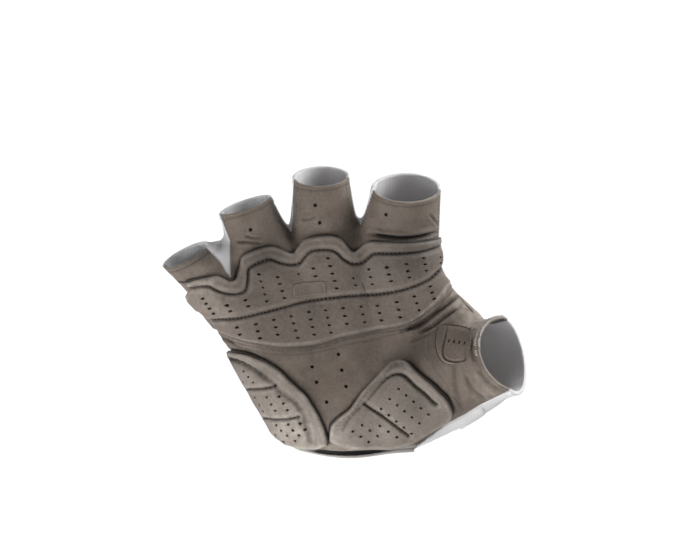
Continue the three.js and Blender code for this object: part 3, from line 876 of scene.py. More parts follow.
OUTER_HEEL_CREASE = smooth_line([
    (-70, 31.6), (-58, 31.4), (-55.4, 31.0), (-51.1, 29.6), (-46.8, 27.4), (-43.2, 25.0),
    (-39.6, 22.4), (-37.4, 19.8), (-34.2, 17.6), (-31.3, 15.2), (-29.5, 12.2), (-28.4, 9.0),
    (-27.4, 5.4), (-26.6, 2.0),
])
OUTER_HEEL_OUTLINE = np.concatenate([OUTER_HEEL_EDGE, [
    (-24, -0.8), (-30.0, -0.4), (-35.0, 0.7), (-38.0, 2.3), (-42.0, 4.3), (-60, 13.0),
]])
OUTER_HEEL_GROOVES = [smooth_line(points) for points in (
    [(-66, 17.0), (-55, 19.2), (-49.3, 20.2), (-44.3, 20.5), (-41.2, 21.0), (-39.4, 21.6)],
    [(-62, 12.4), (-50, 10.6), (-42.8, 9.9), (-39.6, 9.5), (-34.9, 9.7), (-30.9, 10.5)],
)]
THUMB_HEEL_EDGE = smooth_line([
    (-20.0, 2.0), (-19.9, 5.4), (-19.2, 8.0), (-16.2, 10.8), (-12.6, 13.7), (-9.0, 18.7),
    (-5.4, 22.3), (-1.8, 25.9), (1.1, 28.8), (3.2, 30.2), (5.8, 30.6), (8.3, 29.9), (10.4, 27.7),
    (13.7, 24.8), (16.9, 22.3), (19.8, 19.4), (22.0, 17.3), (23.4, 14.8), (24.2, 12.0),
    (22.5, 9.2), (17.5, 6.0),
])
THUMB_HEEL_OUTLINE = np.concatenate([
    THUMB_HEEL_EDGE, [(9.6, 0.6), (2.0, -1.2), (-12.6, -1.4)],
])
THUMB_HEEL_CREASE = smooth_line([
    (-14.8, 6.5), (-12.6, 10.1), (-8.3, 14.4), (-5.4, 17.3), (-1.8, 21.6), (0.6, 24.2), (3.6, 25.7),
    (6.1, 25.6), (8.3, 24.1), (10.8, 21.6), (14.4, 18.7), (16.9, 16.2), (18.2, 15.2),
])
THUMB_HEEL_GROOVE = smooth_line([
    (-7.4, 15.2), (-5.8, 14.0), (-1.8, 11.5), (2.5, 8.3), (5.4, 6.1), (8.3, 4.0),
])
# Folds of the leather: points, depth, width, and shade painted in the valley
LEATHER_FOLDS = [(smooth_line(points), *size) for points, *size in (
    ([(-5.4, 76.0), (1.8, 74.9), (7.2, 74.6), (12.6, 75.2), (18.4, 76.6)], 1.4, 0.65, 1.4),
    ([(-77, 59.3), (-73.6, 58.9), (-70.6, 59.0)], 0.3, 0.4, 1.5),
    ([(25.6, 54.6), (28.2, 51.2), (31.9, 47.4)], 0.3, 0.35, 1.3),
    ([(6.0, 41.6), (12.6, 43.6), (18.7, 47.9), (22.3, 50.6), (26.2, 54.3)], 1.5, 0.75, 1.2),
    ([(13.2, 40.6), (17.0, 42.6), (20.9, 45.8), (26.4, 49.8)], 1.1, 0.7, 1.1),
    ([(9.0, 37.6), (13.0, 39.0), (17.0, 40.2)], 0.4, 0.7, 0.3),
    ([(15.5, 83.0), (17.4, 80.6), (19.4, 78.4)], 0.4, 0.5, 0.5),
    ([(-53.2, 73.3), (-48.8, 73.0), (-44.4, 72.4)], 0.45, 0.5, 0.6),
    ([(-50.0, 75.4), (-47.0, 74.6), (-43.8, 74.6)], 0.3, 0.5, 0.3),
    ([(-29.8, 81.5), (-27.4, 81.3), (-24.8, 82.4)], 0.25, 0.5, 0.35),
    ([(30.4, 38.8), (30.9, 34.4), (32.0, 29.9)], 0.5, 0.7, 0.4),
    ([(33.0, 27.8), (36.0, 23.6), (40.4, 20.2)], 0.5, 0.8, 0.35),
    ([(28.4, 25.8), (31.6, 20.6), (36.0, 17.0)], 0.4, 0.8, 0.25),
    ([(24.6, 31.0), (25.6, 22.0), (27.4, 14.0)], 0.4, 1.1, 0.2),
    ([(-60.5, 40.2), (-57.5, 38.6), (-53.5, 36.4)], 0.7, 0.6, 0.9),
)]
TAB_OUTLINE = smooth_line([
    (-32.0, 57.8), (-27.2, 58.5), (-22.4, 58.9), (-21.4, 58.1), (-21.3, 55.2), (-22.2, 54.4),
    (-27.2, 53.8), (-32.0, 53.2), (-32.9, 54.0), (-32.9, 57.0),
], True)
PATCH_GROOVE = smooth_line([
    (22.4, 42.2), (21.7, 38.5), (20.8, 33.6), (21.8, 31.2), (25.2, 30.3), (28.4, 31.0),
    (29.0, 33.4),
])
PATCH_SLOTS = ((22.5, 37.9, 1.85, -0.26, 4),)
PATCH_OUTLINE = smooth_line([
    (18.6, 41.6), (20.6, 43.4), (25.0, 43.0), (29.6, 42.0), (30.6, 40.4), (30.4, 36.0),
    (29.4, 31.6), (27.0, 29.5), (22.0, 29.4), (19.3, 31.4), (18.0, 36.0),
], True)

# Columns of small holes in the pads: first hole, step to the next, how many
KNUCKLE_HOLES = (
    (-65.2, 52.9, 1.3, -1.8, 4), (-56.5, 50.4, 1.1, -2.0, 2), (-50.0, 52.2, 1.0, -2.2, 2),
    (-45.0, 61.6, 0.62, -2.5, 5), (-38.5, 60.5, 0.85, -2.5, 4), (-31.3, 61.4, 0.7, -2.0, 1),
    (-25.6, 63.7, 0.8, -2.8, 2), (-20.5, 67.2, 0.8, -2.7, 5), (-11.6, 60.1, 0.8, -2.7, 2),
    (-5.6, 63.4, 0.6, -2.7, 3), (0.7, 64.1, 0.75, -2.5, 3), (7.5, 65.2, 0.55, -2.4, 3),
    (13.6, 67.3, 0.5, -2.2, 3), (19.6, 67.6, 0.3, -2.0, 2),
    (-52.9, 42.5, 1.1, -2.5, 2), (-46.2, 43.6, 0.75, -2.5, 3), (-40.0, 45.0, 0.75, -2.6, 3),
    (-33.6, 46.4, 0.75, -2.6, 4), (-27.4, 47.9, 0.65, -2.7, 4), (-21.2, 48.6, 0.6, -2.7, 4),
    (-15.1, 49.3, 0.7, -2.8, 3), (-9.0, 49.8, 0.7, -2.8, 3), (-2.5, 50.2, 0.7, -2.6, 3),
    (4.2, 51.5, 0.6, -2.7, 3), (10.4, 53.6, 0.9, -2.4, 3), (16.1, 57.0, 0.75, -2.2, 3),
)
OUTER_HEEL_HOLES = (
    (-50.4, 26.9, 1.7, -2.0, 3), (-50.6, 23.0, 1.8, -0.7, 1), (-46.4, 17.4, 4.3, 0.2, 3),
    (-44.6, 14.8, 4.2, 0.3, 3), (-43.4, 12.6, 4.3, 0.2, 3), (-38.7, 7.5, 4.2, 0.3, 3),
    (-41.0, 5.6, 4.1, 0.1, 4), (-38.9, 3.9, 4.1, 0.1, 3), (-36.0, 1.9, 4.0, 0.2, 2),
)
THUMB_HEEL_HOLES = (
    (5.0, 20.5, 2.6, -2.2, 5), (1.8, 16.9, 2.6, -2.1, 5), (-1.4, 13.4, 2.7, -2.2, 5),
    (-8.3, 7.6, 2.8, -1.9, 3), (-11.6, 5.4, 2.8, -1.9, 3), (-1.8, 7.4, 3.0, -2.0, 3),
)
VENTS = (
    (-16.7, 32.8), (-26.1, 28.4), (-15.5, 27.2), (-24.5, 22.9), (-14.0, 21.4), (-20.9, 15.8),
    (-48.2, 77.4), (-25.0, 86.2), (-23.4, 79.9), (0.4, 82.8),
)
# Sizes of the holes, then heights and insets of the pads. A rise is how far above the
# form a drawn line shows: at a pad's edge, in its creases or on its top
HOLE_RADIUS = 0.44
KNUCKLE_HOLE_WIDTH = 1.6
HEEL_HOLE_WIDTH = 1.2
VENT_RADIUS = 0.72
VENT_DEPTH = 0.85
SLOT_SIZE = (0.75, 0.48)
HOLE_WALL = 0.16
HOLE_DEPTH = 1.3
HEM_HEIGHT = 0.75
PAD_FLOOR = 0.12
PAD_SETBACK = 1.5
PAD_TUCK = 0.45
PAD_EDGE_RISE = 1.0
CREASE_RISE = 1.5
PAD_TOP_RISE = 2.1
PAD_PUFF = 0.55


def hole_axes(columns, rise=0.0):
    """Middles and directions of the small holes"""
    return front_points([
        (x + i * dx, z + i * dz) for x, z, dx, dz, count in columns for i in range(count)
    ], rise)


def hole_field(axes, p, radius, wide=1.0):
    """Distance outside the nearest hole's wall. wide stretches the holes sideways"""
    best = np.full(len(p), 9.0)
    for middle, normal in zip(*axes):
        away = p - middle
        near = (np.abs(away) < 4).all(1)
        away = away[near]
        sideways = unit(np.array([-normal[1], normal[0], 0]))
        upward = np.cross(normal, sideways)
        best[near] = np.minimum(best[near], np.hypot(away @ sideways / wide, away @ upward))
    return best - radius


# Painted light and painted shade on the leather: x, z, reach, how much paler, how much darker
PAINTED_LIGHT_AND_SHADE = (
    (-32, 5, 7, 1.4, 0), (-18, 0, 8, 1.2, 0), (-61, 51, 7, 0.7, 0), (-65, 60, 6, 1.1, 0),
    (26, 51, 5, 1.6, 0), (32, 44, 5, 2, 0), (-2, 6, 6, 0.6, 0), (38, 21, 6, 0.9, 0),
    (-50, 24, 5, 0.4, 0), (-39, 12, 7, 0.6, 0), (-43, 67, 6, 0, 0.75), (8, 72, 9, 0, 0.45),
    (-43, 27, 2.5, 0, 0.4), (-9, 64, 7, 0, 0.4), (9, 65, 7, 0, 0.2), (13, 33, 7, 0, 0.3),
    (4, 29, 4, 0, 0.5), (10, 15, 6, 0, 0.34), (-7, 35, 6, 0, 0.28), (-66, 68, 6, 0, 0.4),
)
# Painted shade where the leather turns away from the palm side
SIDE_SHADE = 0.3
WEAR_AND_LIGHT_MOST = 1.8


def spot(p, x, z, reach):
    """1 at a place seen from the palm side, falling to 0 around it"""
    return ridge(np.hypot(p[:, 0] - x, p[:, 2] - z), reach)


def painted_light_and_shade(p):
    """Painted light and painted shade: how much paler and how much darker the leather is, with
    painted shade also where it turns away from the palm side
    """
    paler = np.zeros(len(p))
    darker = SIDE_SHADE * (1 - facing(p)) * smooth(p[:, 0], 22, 8)
    for x, z, reach, pale, dark in PAINTED_LIGHT_AND_SHADE:
        share = spot(p, x, z, reach)
        paler += pale * share
        darker += dark * share
    return paler, darker


LEATHER_VENTS = hole_axes([(x, z, 0, 0, 1) for x, z in VENTS])


def waves(p, size, seed):
    """Gentle unevenness between -1 and 1, a few sines in drawn directions"""
    rng = np.random.default_rng(seed)
    total = np.zeros(len(p))
    for _ in range(5):
        direction = unit(rng.normal(size=3)) * 2 * math.pi / (size * rng.uniform(0.7, 1.5))
        total += np.sin(p @ direction + rng.uniform(0, 2 * math.pi))
    return total / 3


def crease(p, line, depth, width, pitch=1.5, pucker=0.35, start=1.0, end=1.0):
    """A sewn valley: its depth, the distance to its line, how near its bottom, and its
    share of strength, which goes from start to end along the line"""
    distance, place, across = nearest_on(line, p)
    distance = on_surface(distance, across, p)
    length = np.linalg.norm(np.diff(line, axis=0), axis=1).sum()
    share = start + (end - start) * smooth(place / length, 0.3, 0.6)
    valley = ridge(distance, width) * share
    puckers = 0.5 + 0.5 * np.cos(2 * math.pi * place / pitch)
    return depth * valley * (1 - pucker + pucker * puckers), distance, valley, share


def folds(p, rows):
    """Small soft folds: a valley with a swelling beside it, and painted shade in the valley. Rows
    of line, depth, width, shade
    """
    height = np.zeros(len(p))
    shade = np.zeros(len(p))
    for line, depth, width, dark in rows:
        distance, place, across = nearest_on(line, p)
        distance = on_surface(distance, across, p)
        length = np.linalg.norm(np.diff(line, axis=0), axis=1).sum()
        share = smooth(place, 0, 0.15 * length) * smooth(length - place, 0, 0.15 * length)
        share = 0.25 + 0.75 * share
        swelling = 0.45 * ridge(distance - 2.2 * width, 1.3 * width)
        height += share * depth * (swelling - ridge(distance, width))
        shade += share * dark * ridge(distance, width)
    return height * (0.2 + 0.8 * facing(p)), shade


def drilled(surface, holes):
    """A surface with the rings of its holes' walls in its edges"""
    for inset in (0, HOLE_WALL):
        surface = inscribe(surface, lambda p: holes(p) + inset, 0.02)
    return surface


# The leather palm

LEATHER_SWELL = 0.1
LEATHER_WAVES = (13, 3)
FABRIC_SWELL = 0.12
FABRIC_WAVES = (17, 11)
DITCH_DEPTH = 0.4
# Places of the leather: x, z and reach
CRUMPLE = (-11, 1.5, 6)
GATHER = (-61, 37.5, 4)
GATHER_HEIGHT = 0.9
SEAM_ROW = 1.1
VENT_REACH = 1.4


def leather_relief(p):
    height = LEATHER_SWELL * waves(p, *LEATHER_WAVES) + 0.05 * waves(p, 5, 4)
    fall, shade = folds(p, LEATHER_FOLDS)
    height += fall
    index_side = 0.25 + 0.75 * smooth(-p[:, 0], -2, 7)
    # A ditch along the pads' edges, with a painted shadow line in it
    for line, share in ((KNUCKLE_TOP, index_side), (OUTER_HEEL_EDGE, 1), (THUMB_HEEL_EDGE, 1)):
        beside = line_distance(line, raised(p, PAD_EDGE_RISE))
        height -= DITCH_DEPTH * share * ridge(beside, 0.6)
        shade += 1.2 * share * ridge(beside, 0.38)
    crumple = spot(p, *CRUMPLE)
    height += 0.22 * crumple * waves(p, 2.6, 9) + GATHER_HEIGHT * spot(p, *GATHER)
    band = depth_inside(SEAM_BAND, raised(p, PAD_EDGE_RISE))
    height += 0.35 * smooth(band, -0.3, 0.3) * facing(p)
    # Painted shade along the step at the seam band's edge
    shade += 0.5 * ridge(band + 0.3, 0.35)
    rim = near_rims(p)
    shade += 0.45 * ridge(rim + SEAM_ROW, 0.3)
    height -= 0.15 * ridge(rim + SEAM_ROW, 0.3)
    paler, darker = painted_light_and_shade(p)
    shade += darker
    # Paler at random, near the openings, at the painted-light places, and on the crumpled patch by
    # the wrist as a painted highlight
    wear_and_painted_light = 0.35 * (0.5 + 0.5 * waves(p, 9, 7)) + 0.7 * crumple + paler
    wear_and_painted_light = np.maximum(wear_and_painted_light, 0.6 * smooth(rim, -0.5, 0.3))
    # The vents are shallow pits painted near black: painted shade for the dark holes
    pit = smooth(-hole_field(LEATHER_VENTS, p, VENT_RADIUS), 0, HOLE_WALL)
    height -= VENT_DEPTH * pit
    return height, np.clip(shade + 2 * pit, 0, 2), np.clip(wear_and_painted_light, 0, WEAR_AND_LIGHT_MOST) * (1 - pit)


def leather_floor(surface):
    return LEATHER_SWELL * waves(surface[0], *LEATHER_WAVES) - WALL


def uncovered(p):
    """Leather that no pad hides, and a margin round it"""
    outlines = (KNUCKLE_OUTLINE, OUTER_HEEL_OUTLINE, THUMB_HEEL_OUTLINE)
    depth = np.max([depth_inside(outline, p, False) for outline in outlines], axis=0)
    return np.minimum(depth, -PAD_SETBACK - seam_field(p)) < CUT_MARGIN


def build_leather(base, materials):
    def hem(p):
        return binding_field(p, SEAM_GAP)

    shared = [leather_seam, leather_corner] + rim_lines(name for name in RIMS if name != "wrist")
    lines = shared + [leather_notch, leather_of_palm, hem]
    edges = within(shared + [leather_notch, hem])
    palm = cut_out(base, lines, within(lines))
    outside = refine(
        finer(palm, uncovered), lambda p: hole_field(LEATHER_VENTS, p, 0) < VENT_REACH
    )
    outside = drilled(outside, lambda p: hole_field(LEATHER_VENTS, p, VENT_RADIUS))
    floor = leather_floor(palm)
    piece = shell("palm_leather", outside, palm, edges, leather_relief, floor, materials)
    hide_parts("palm_panel")

    lines = shared + [leather_of_thumb]
    thumb = cut_out(base, lines, within(lines))
    outside, edges, floor = finer(thumb), within(shared), leather_floor(thumb)
    piece = shell("thumb_leather", outside, thumb, edges, leather_relief, floor, materials)
    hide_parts("thumb_panel")
    return palm, thumb


# The fabric back, the fourchettes and the wrist hem

HEM_WIDTH = 2.5


def fabric_relief(p):
    height = FABRIC_SWELL * waves(p, *FABRIC_WAVES) + 0.06 * waves(p, 7, 12)
    hem = near_rims(p) + HEM_WIDTH
    height += 0.25 * smooth(hem, -0.1, 0.4) - 0.3 * ridge(hem, 0.35)
    # Painted shade in the hem's groove and, broadly, beside the leather
    beside = np.minimum(seam_field(p), corner_field(p))
    return height, 0.4 * ridge(hem, 0.4) + 0.65 * ridge(beside, 4), np.zeros(len(p))


def fabric_floor(surface):
    return FABRIC_SWELL * waves(surface[0], *FABRIC_WAVES) - WALL


def build_fabric(base, materials):
    gap = SEAM_GAP / 2

    def strip(name, p):
        return np.maximum(strip_depth(p), zone_field(name, p))

    def back_region(p):
        sides = [fabric_field(p), beyond_rims(p)] + [gap - strip(name, p) for name in STRIP_ZONES]
        return np.max(sides, axis=0)

    def panel(name, node, sheet, region):
        floor = fabric_floor(sheet)
        piece = shell(name, sheet, sheet, region, fabric_relief, floor, materials)
        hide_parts(node)

    shared = [fabric_seam, fabric_corner, fabric_notch] + rim_lines(RIMS)
    zones = [lambda p, name=name: gap - zone_field(name, p) for name in STRIP_ZONES]
    back = cut_out(base, shared + [lambda p: gap - strip_depth(p)] + zones, back_region)
    panel("back_fabric", "back_panel", back, back_region)
    for name in STRIP_ZONES:
        def region(p):
            return np.max([fabric_field(p), beyond_rims(p), strip(name, p) + gap], axis=0)
        lines = shared + [lambda p: strip_depth(p) + gap, lambda p: zone_field(name, p) + gap]
        panel(name + "_fabric", name, cut_out(base, lines, region), region)
    return back


def build_binding(base, materials):
    def rim(p):
        return rim_field("wrist", p)

    def upper(p):
        return -binding_field(p, 0)

    def relief(p):
        down = -rim(p)
        height = -0.75 * smooth(down, 0.9, 1.4) + 0.15 * waves(p, 9, 21)
        # Painted shadow: the sunken upper part of the hem turns near black along the middle, under
        # the leather's edge
        middle = smooth(p[:, 0], -30, -23) * smooth(p[:, 0], 4, -2)
        return height, smooth(down, 0.7, 1.1) * (0.1 + 1.1 * middle), np.zeros(len(p))

    lines = [leather_seam, leather_corner, rim, upper]
    region = within(lines)
    strip = finer(cut_out(base, lines, region, THIN_EDGE), keep_border=False)
    piece = shell("wrist_hem", strip, strip, region, relief, -WALL, materials, THIN_EDGE)
    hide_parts("wrist_binding")


# The pads

def pad_inside(p, outline):
    """Depth inside a pad's outline as it shows at its edge"""
    return depth_inside(outline, raised(p, PAD_EDGE_RISE))


def pad_height(p, outline, dark_edge, creases, cells):
    """Rises steeply at its edge and crowns between its sewn creases. cells is the outline
    of its thick part when a thin hem is sewn on below it"""
    inside = pad_inside(p, outline)
    tuck = -seam_field(p) - PAD_SETBACK
    inside = np.minimum(inside, PAD_TUCK * tuck)
    slope = 1.3 + 3.5 * (1 - facing(p))
    height = 0.6 + 1.25 * np.sqrt(smooth(inside, -0.3, slope)) + 0.08 * waves(p, 6, 31)
    # Painted shadow line along the pad's upper edge
    shade = 1.2 * ridge(line_distance(dark_edge, raised(p, PAD_EDGE_RISE)), 0.25)
    valleys = [crease(raised(p, CREASE_RISE), *c) for c in creases]
    dip = np.max([ridge(v[1], 1.3) * v[3] for v in valleys], axis=0)
    broad = np.max([ridge(v[1], 4) * v[3] for v in valleys], axis=0)
    front = smooth(-normals_at(p)[:, 1], 0, 0.35)
    height += PAD_PUFF * (1 - dip * front) + 0.35 * (1 - broad * front)
    # The creases sink, with painted shade in their valleys
    for fall, _, valley, _ in valleys:
        height -= fall * front
        shade += 1.1 * valley ** 1.5
    # Paler just inside the pad's edge and on the shoulders beside its creases
    wear_and_painted_light = 0.8 * ridge(inside - 1.0, 0.7)
    wear_and_painted_light += 0.5 * np.max([ridge(v[1] - 1.4, 0.6) * v[3] for v in valleys], axis=0)
    # The thin hem: a painted highlight along its step and painted shade just below it
    if cells is not None:
        beyond = -depth_inside(cells, raised(p, CREASE_RISE))
        hem = smooth(beyond, -0.1, 0.9)
        height += (HEM_HEIGHT + 0.5 * (1 - front) - height) * hem
        shade = shade * (1 - hem) + 0.45 * ridge(beyond - 1.0, 0.35)
        wear_and_painted_light = wear_and_painted_light * (1 - hem) + ridge(beyond, 0.5)
    paler, darker = painted_light_and_shade(p)
    taper = 0.35 + 0.65 * smooth(tuck, 0, 3)
    height = HEM_HEIGHT + (height - HEM_HEIGHT) * taper
    return height, shade + darker, wear_and_painted_light + paler


def build_pad(
    name, node, base, outline, dark_edge, creases, holes, wide, materials, cells=None, tab=None
):
    """A pad with holes stretched sideways by wide, perhaps with a thin hem and a raised tab"""
    axes = hole_axes(holes, PAD_TOP_RISE)
    lines = [lambda p: -pad_inside(p, outline), lambda p: seam_field(p) + PAD_SETBACK]
    region = within(lines)

    def relief(p):
        height, shade, wear_and_painted_light = pad_height(p, outline, dark_edge, creases, cells)
        # The tab: painted shade round its outline and a painted highlight just inside it
        if tab is not None:
            inside_tab = depth_inside(tab, raised(p, PAD_TOP_RISE))
            height += 0.3 * smooth(inside_tab, -0.15, 0.2) - 0.15 * smooth(inside_tab, 0.3, 0.6)
            shade += 0.4 * ridge(inside_tab + 0.25, 0.25)
            wear_and_painted_light += 0.4 * ridge(inside_tab - 0.25, 0.25)
        # The holes sink and are painted dark inside: painted shade
        rim = hole_field(axes, p, HOLE_RADIUS, wide)
        height += 0.06 * ridge(rim - 0.25, 0.3) - HOLE_DEPTH * smooth(-rim, 0.0, HOLE_WALL)
        shade = np.maximum(shade, 1.1 * smooth(-rim, -0.05, 0.2))
        return height, shade, np.clip(wear_and_painted_light, 0, WEAR_AND_LIGHT_MOST) * (1 - smooth(-rim, -0.2, 0))

    rough = part_of(base, lambda p: (seam_field(p) < 3) & (depth_inside(outline, p, False) > -3))
    under = cut_out(rough, lines, region, THIN_EDGE)

    def fine(p):
        at_top = raised(p, CREASE_RISE)
        near = np.min([line_distance(c[0], at_top) for c in creases], axis=0) < 1.1
        near |= hole_field(axes, p, 0, wide) < 1.0
        if tab is not None:
            near |= np.abs(depth_inside(tab, raised(p, PAD_TOP_RISE))) < 0.7
        return near

    top = drilled(finer(finer(under), fine), lambda p: hole_field(axes, p, HOLE_RADIUS, wide))
    piece = shell(name, top, under, region, relief, PAD_FLOOR, materials, THIN_EDGE)
    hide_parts(node)
    return relief


def build_patch(base, materials):
    slots = hole_axes(PATCH_SLOTS, 0.9)

    def region(p):
        return -depth_inside(PATCH_OUTLINE, p)

    def relief(p):
        inside = depth_inside(PATCH_OUTLINE, p)
        fall, shade = folds(p, ((PATCH_GROOVE, 0.5, 0.32, 0.5),))
        height = 0.25 + 0.5 * smooth(inside, 0, 2.6) + fall
        # Slots sink with painted shade inside; a painted highlight runs below the groove's bottom
        slot = smooth(-hole_field(slots, p, *SLOT_SIZE), 0, HOLE_WALL)
        height -= 0.5 * slot
        wear_and_painted_light = 0.6 * ridge(line_distance(PATCH_GROOVE, p) - 0.9, 0.4) * smooth(-p[:, 2], -33, -31)
        return height, shade + 1.8 * slot, wear_and_painted_light + 0.3 * ridge(inside - 0.4, 0.4)

    rough = part_of(base, lambda p: (p[:, 1] < -6) & (depth_inside(PATCH_OUTLINE, p, False) > -3))
    under = cut_out(rough, [region], region, THIN_EDGE)
    top = finer(refine(under))
    piece = shell(
        "thumb_patch_leather", top, under, region, relief, PAD_FLOOR, materials, THIN_EDGE
    )
    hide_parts("thumb_patch")
    return relief


# Materials

class Nodes:
    """Short calls for building one material's nodes"""

    def __init__(self, name, roughness, sheen=0.0, sheen_roughness=0.5, specular=0.4):
        self.material = bpy.data.materials.new(name)
        self.material.use_nodes = True
        self.tree = self.material.node_tree
        self.place = self.node("TexCoord", {})["Object"]
        self.shade({
            "Roughness": roughness, "Sheen Weight": sheen, "Sheen Roughness": sheen_roughness,
            "Specular IOR Level": specular,
        })

    def fill(self, node, inputs):
        """Sets or links a node's inputs, but for those given as None"""
        for name, value in inputs.items():
            if isinstance(value, bpy.types.NodeSocket):
                self.tree.links.new(value, node.inputs[name])
            elif value is not None:
                node.inputs[name].default_value = value

    def shade(self, inputs):
        self.fill(self.tree.nodes["Principled BSDF"], inputs)

    def node(self, kind, inputs, **settings):
        """A new node's outputs"""
        node = self.tree.nodes.new("ShaderNode" + kind)
        for name, value in settings.items():
            setattr(node, name, value)
        self.fill(node, inputs)
        return node.outputs

    def math(self, kind, a, b=0.0, clamp=False):
        return self.node("Math", {0: a, 1: b}, operation=kind, use_clamp=clamp)[0]

    def times(self, a, b, clamp=False):
        return self.math("MULTIPLY", a, b, clamp)

    def value(self, name):
        return self.node("Attribute", {}, attribute_name=name)["Fac"]

    def noise(self, size, detail=3.0, rough=0.55, distortion=0.0):
        """Noise whose features are about size metres across"""
        return self.node("TexNoise", {
            "Vector": self.place, "Scale": 1 / size, "Detail": detail, "Roughness": rough,
            "Distortion": distortion,
        })["Fac"]

    def cells(self, size):
        return self.node("TexVoronoi", {"Vector": self.place, "Scale": 1 / size})["Distance"]

    def axes(self, vector):
        return self.node("SeparateXYZ", {0: vector})

    def mix(self, share, a, b):
        inputs = {"Factor": share, "A": a, "B": b}
        return self.node("Mix", inputs, data_type="RGBA")["Result"]

    def span(self, value, low, high, to_low=0, to_high=1):
        return self.node("MapRange", {
            "Value": value, "From Min": low, "From Max": high,
            "To Min": to_low, "To Max": to_high,
        })["Result"]

    def bump(self, height, depth, under=None):
        return self.node("Bump", {
            "Strength": 1.0, "Distance": depth, "Height": height, "Normal": under,
        })["Normal"]

    def finish(self, colour, normal=None, roughness=None):
        self.shade({"Base Color": colour, "Normal": normal, "Roughness": roughness})
        return self.material


def rgb(r, g, b):
    """A colour given as it looks on a screen, 0 to 255"""
    values = []
    for c in (r, g, b):
        c /= 255
        values.append(c / 12.92 if c <= 0.04045 else ((c + 0.055) / 1.055) ** 2.4)
    return (*values, 1.0)


def leather_material(name, body, dark, light, grain=1.0):
    """Matt synthetic leather: fine pebbles, mottling, painted shade in folds, ditches and pits,
    paler on rubbed edges and on painted highlights
    """
    n = Nodes(name, 0.62, sheen=0.12, sheen_roughness=0.45, specular=0.35)
    cloud = n.noise(0.011, 4, 0.6, 0.4)
    speck = n.noise(0.0011, 3, 0.7)
    colour = n.mix(n.span(cloud, 0.3, 0.7), dark, body)
    colour = n.mix(n.span(speck, 0.35, 0.75, 0, 0.22), colour, light)
    # Paler where rubbed and where light is painted on
    pale_share = n.times(n.value("wear_and_painted_light"), n.span(n.noise(0.0035, 4, 0.65), 0.3, 0.7, 0.1, 0.9))
    colour = n.mix(n.times(pale_share, 0.7, True), colour, light)
    # Painted shade: towards near black where the shade value is high
    colour = n.mix(n.times(n.value("shade"), 0.8, True), colour, rgb(30, 25, 22))
    pebble = n.cells(0.00075)
    fine = n.noise(0.00032, 2, 0.6)
    broad = n.noise(0.0026, 3, 0.5)
    normal = n.bump(broad, 0.0003 * grain)
    normal = n.bump(pebble, 0.00009 * grain, normal)
    normal = n.bump(fine, 0.00005 * grain, normal)
    roughness = n.span(speck, 0.3, 0.7, 0.54, 0.72)
    return n.finish(colour, normal, roughness)


def fibre_material(name, looks, noise, depth, dark, light):
    """A material of two tones. looks are its roughness, sheen and shine, noise is the
    size, detail and roughness of its fibres"""
    roughness, sheen, specular = looks
    n = Nodes(name, roughness, sheen=sheen, specular=specular)
    fibre = n.noise(*noise)
    return n.finish(n.mix(n.span(fibre, 0.3, 0.7), dark, light), n.bump(fibre, depth))


def inner_material():
    """Brushed inside of the leather, brown and dull"""
    looks, noise = (0.9, 0.3, 0.15), (0.0005, 4, 0.7)
    colours = rgb(58, 42, 36), rgb(92, 72, 62)
    return fibre_material("leather_inside", looks, noise, 0.0003, *colours)


def cut_edge_material():
    """Cut edge of the leather, paler than its face"""
    looks, noise = (0.85, 0.2, 0.2), (0.0004, 4, 0.7)
    colours = rgb(120, 112, 104), rgb(176, 168, 158)
    return fibre_material("leather_cut_edge", looks, noise, 0.0002, *colours)


def thread_material(name, light, dark):
    return fibre_material(name, (0.55, 0.15, 0.4), (0.0004, 2, 0.5), 0.0001, dark, light)


KNIT_COLUMN = 0.0005
KNIT_COURSE = 0.0004


def fabric_material(name, light, dark):
    """Stretch knit: fine columns of loops on each facing, with a soft sheen"""
    n = Nodes(name, 0.85, sheen=0.35, sheen_roughness=0.4, specular=0.25)
    x, y, z = n.axes(n.place)
    facing_x, facing_y, _ = n.axes(n.node("NewGeometry", {})["Normal"])

    def knit(across):
        column = n.times(across, 2 * math.pi / KNIT_COLUMN)
        wale = n.math("ABSOLUTE", n.math("SINE", n.times(column, 0.5)))
        lean = n.times(n.math("SINE", column), 0.9)
        course = n.times(z, 2 * math.pi / KNIT_COURSE)
        course = n.math("SINE", n.math("ADD", course, lean))
        return n.math("ADD", wale, n.times(course, 0.35))

    sideways = n.math("SUBTRACT", n.math("ABSOLUTE", facing_x), n.math("ABSOLUTE", facing_y))
    side = n.span(sideways, -0.2, 0.2)
    front, flank = knit(x), knit(y)
    loops = n.math("ADD", front, n.times(side, n.math("SUBTRACT", flank, front)))
    slub = n.noise(0.0016, 3, 0.6)
    colour = n.mix(n.span(loops, -0.2, 1.1), dark, light)
    colour = n.mix(n.span(slub, 0.3, 0.75, 0, 0.22), colour, dark)
    # Greyer where the shade value is high: painted shade
    colour = n.mix(n.times(n.value("shade"), 0.5, True), colour, rgb(150, 147, 144))
    normal = n.bump(n.noise(0.006, 3, 0.5), 0.0004)
    normal = n.bump(loops, 0.00007, normal)
    return n.finish(colour, normal)


TWILL_PITCH = 0.0006


def tape_material():
    """Woven hem tape, pale grey with fine twill lines"""
    n = Nodes("hem_tape", 0.85, sheen=0.2, specular=0.25)
    x, _, z = n.axes(n.place)
    twill = n.math("SINE", n.times(n.math("ADD", x, z), 2 * math.pi / TWILL_PITCH))
    colour = n.mix(n.span(twill, -1, 1), rgb(150, 146, 142), rgb(206, 202, 198))
    # Painted shadow: near black where the shade value is high
    colour = n.mix(n.times(n.value("shade"), 0.95, True), colour, rgb(10, 8, 8))
    return n.finish(colour, n.bump(twill, 0.0001))


# Studio: a pale floor that sweeps up behind, soft lights, a long lens

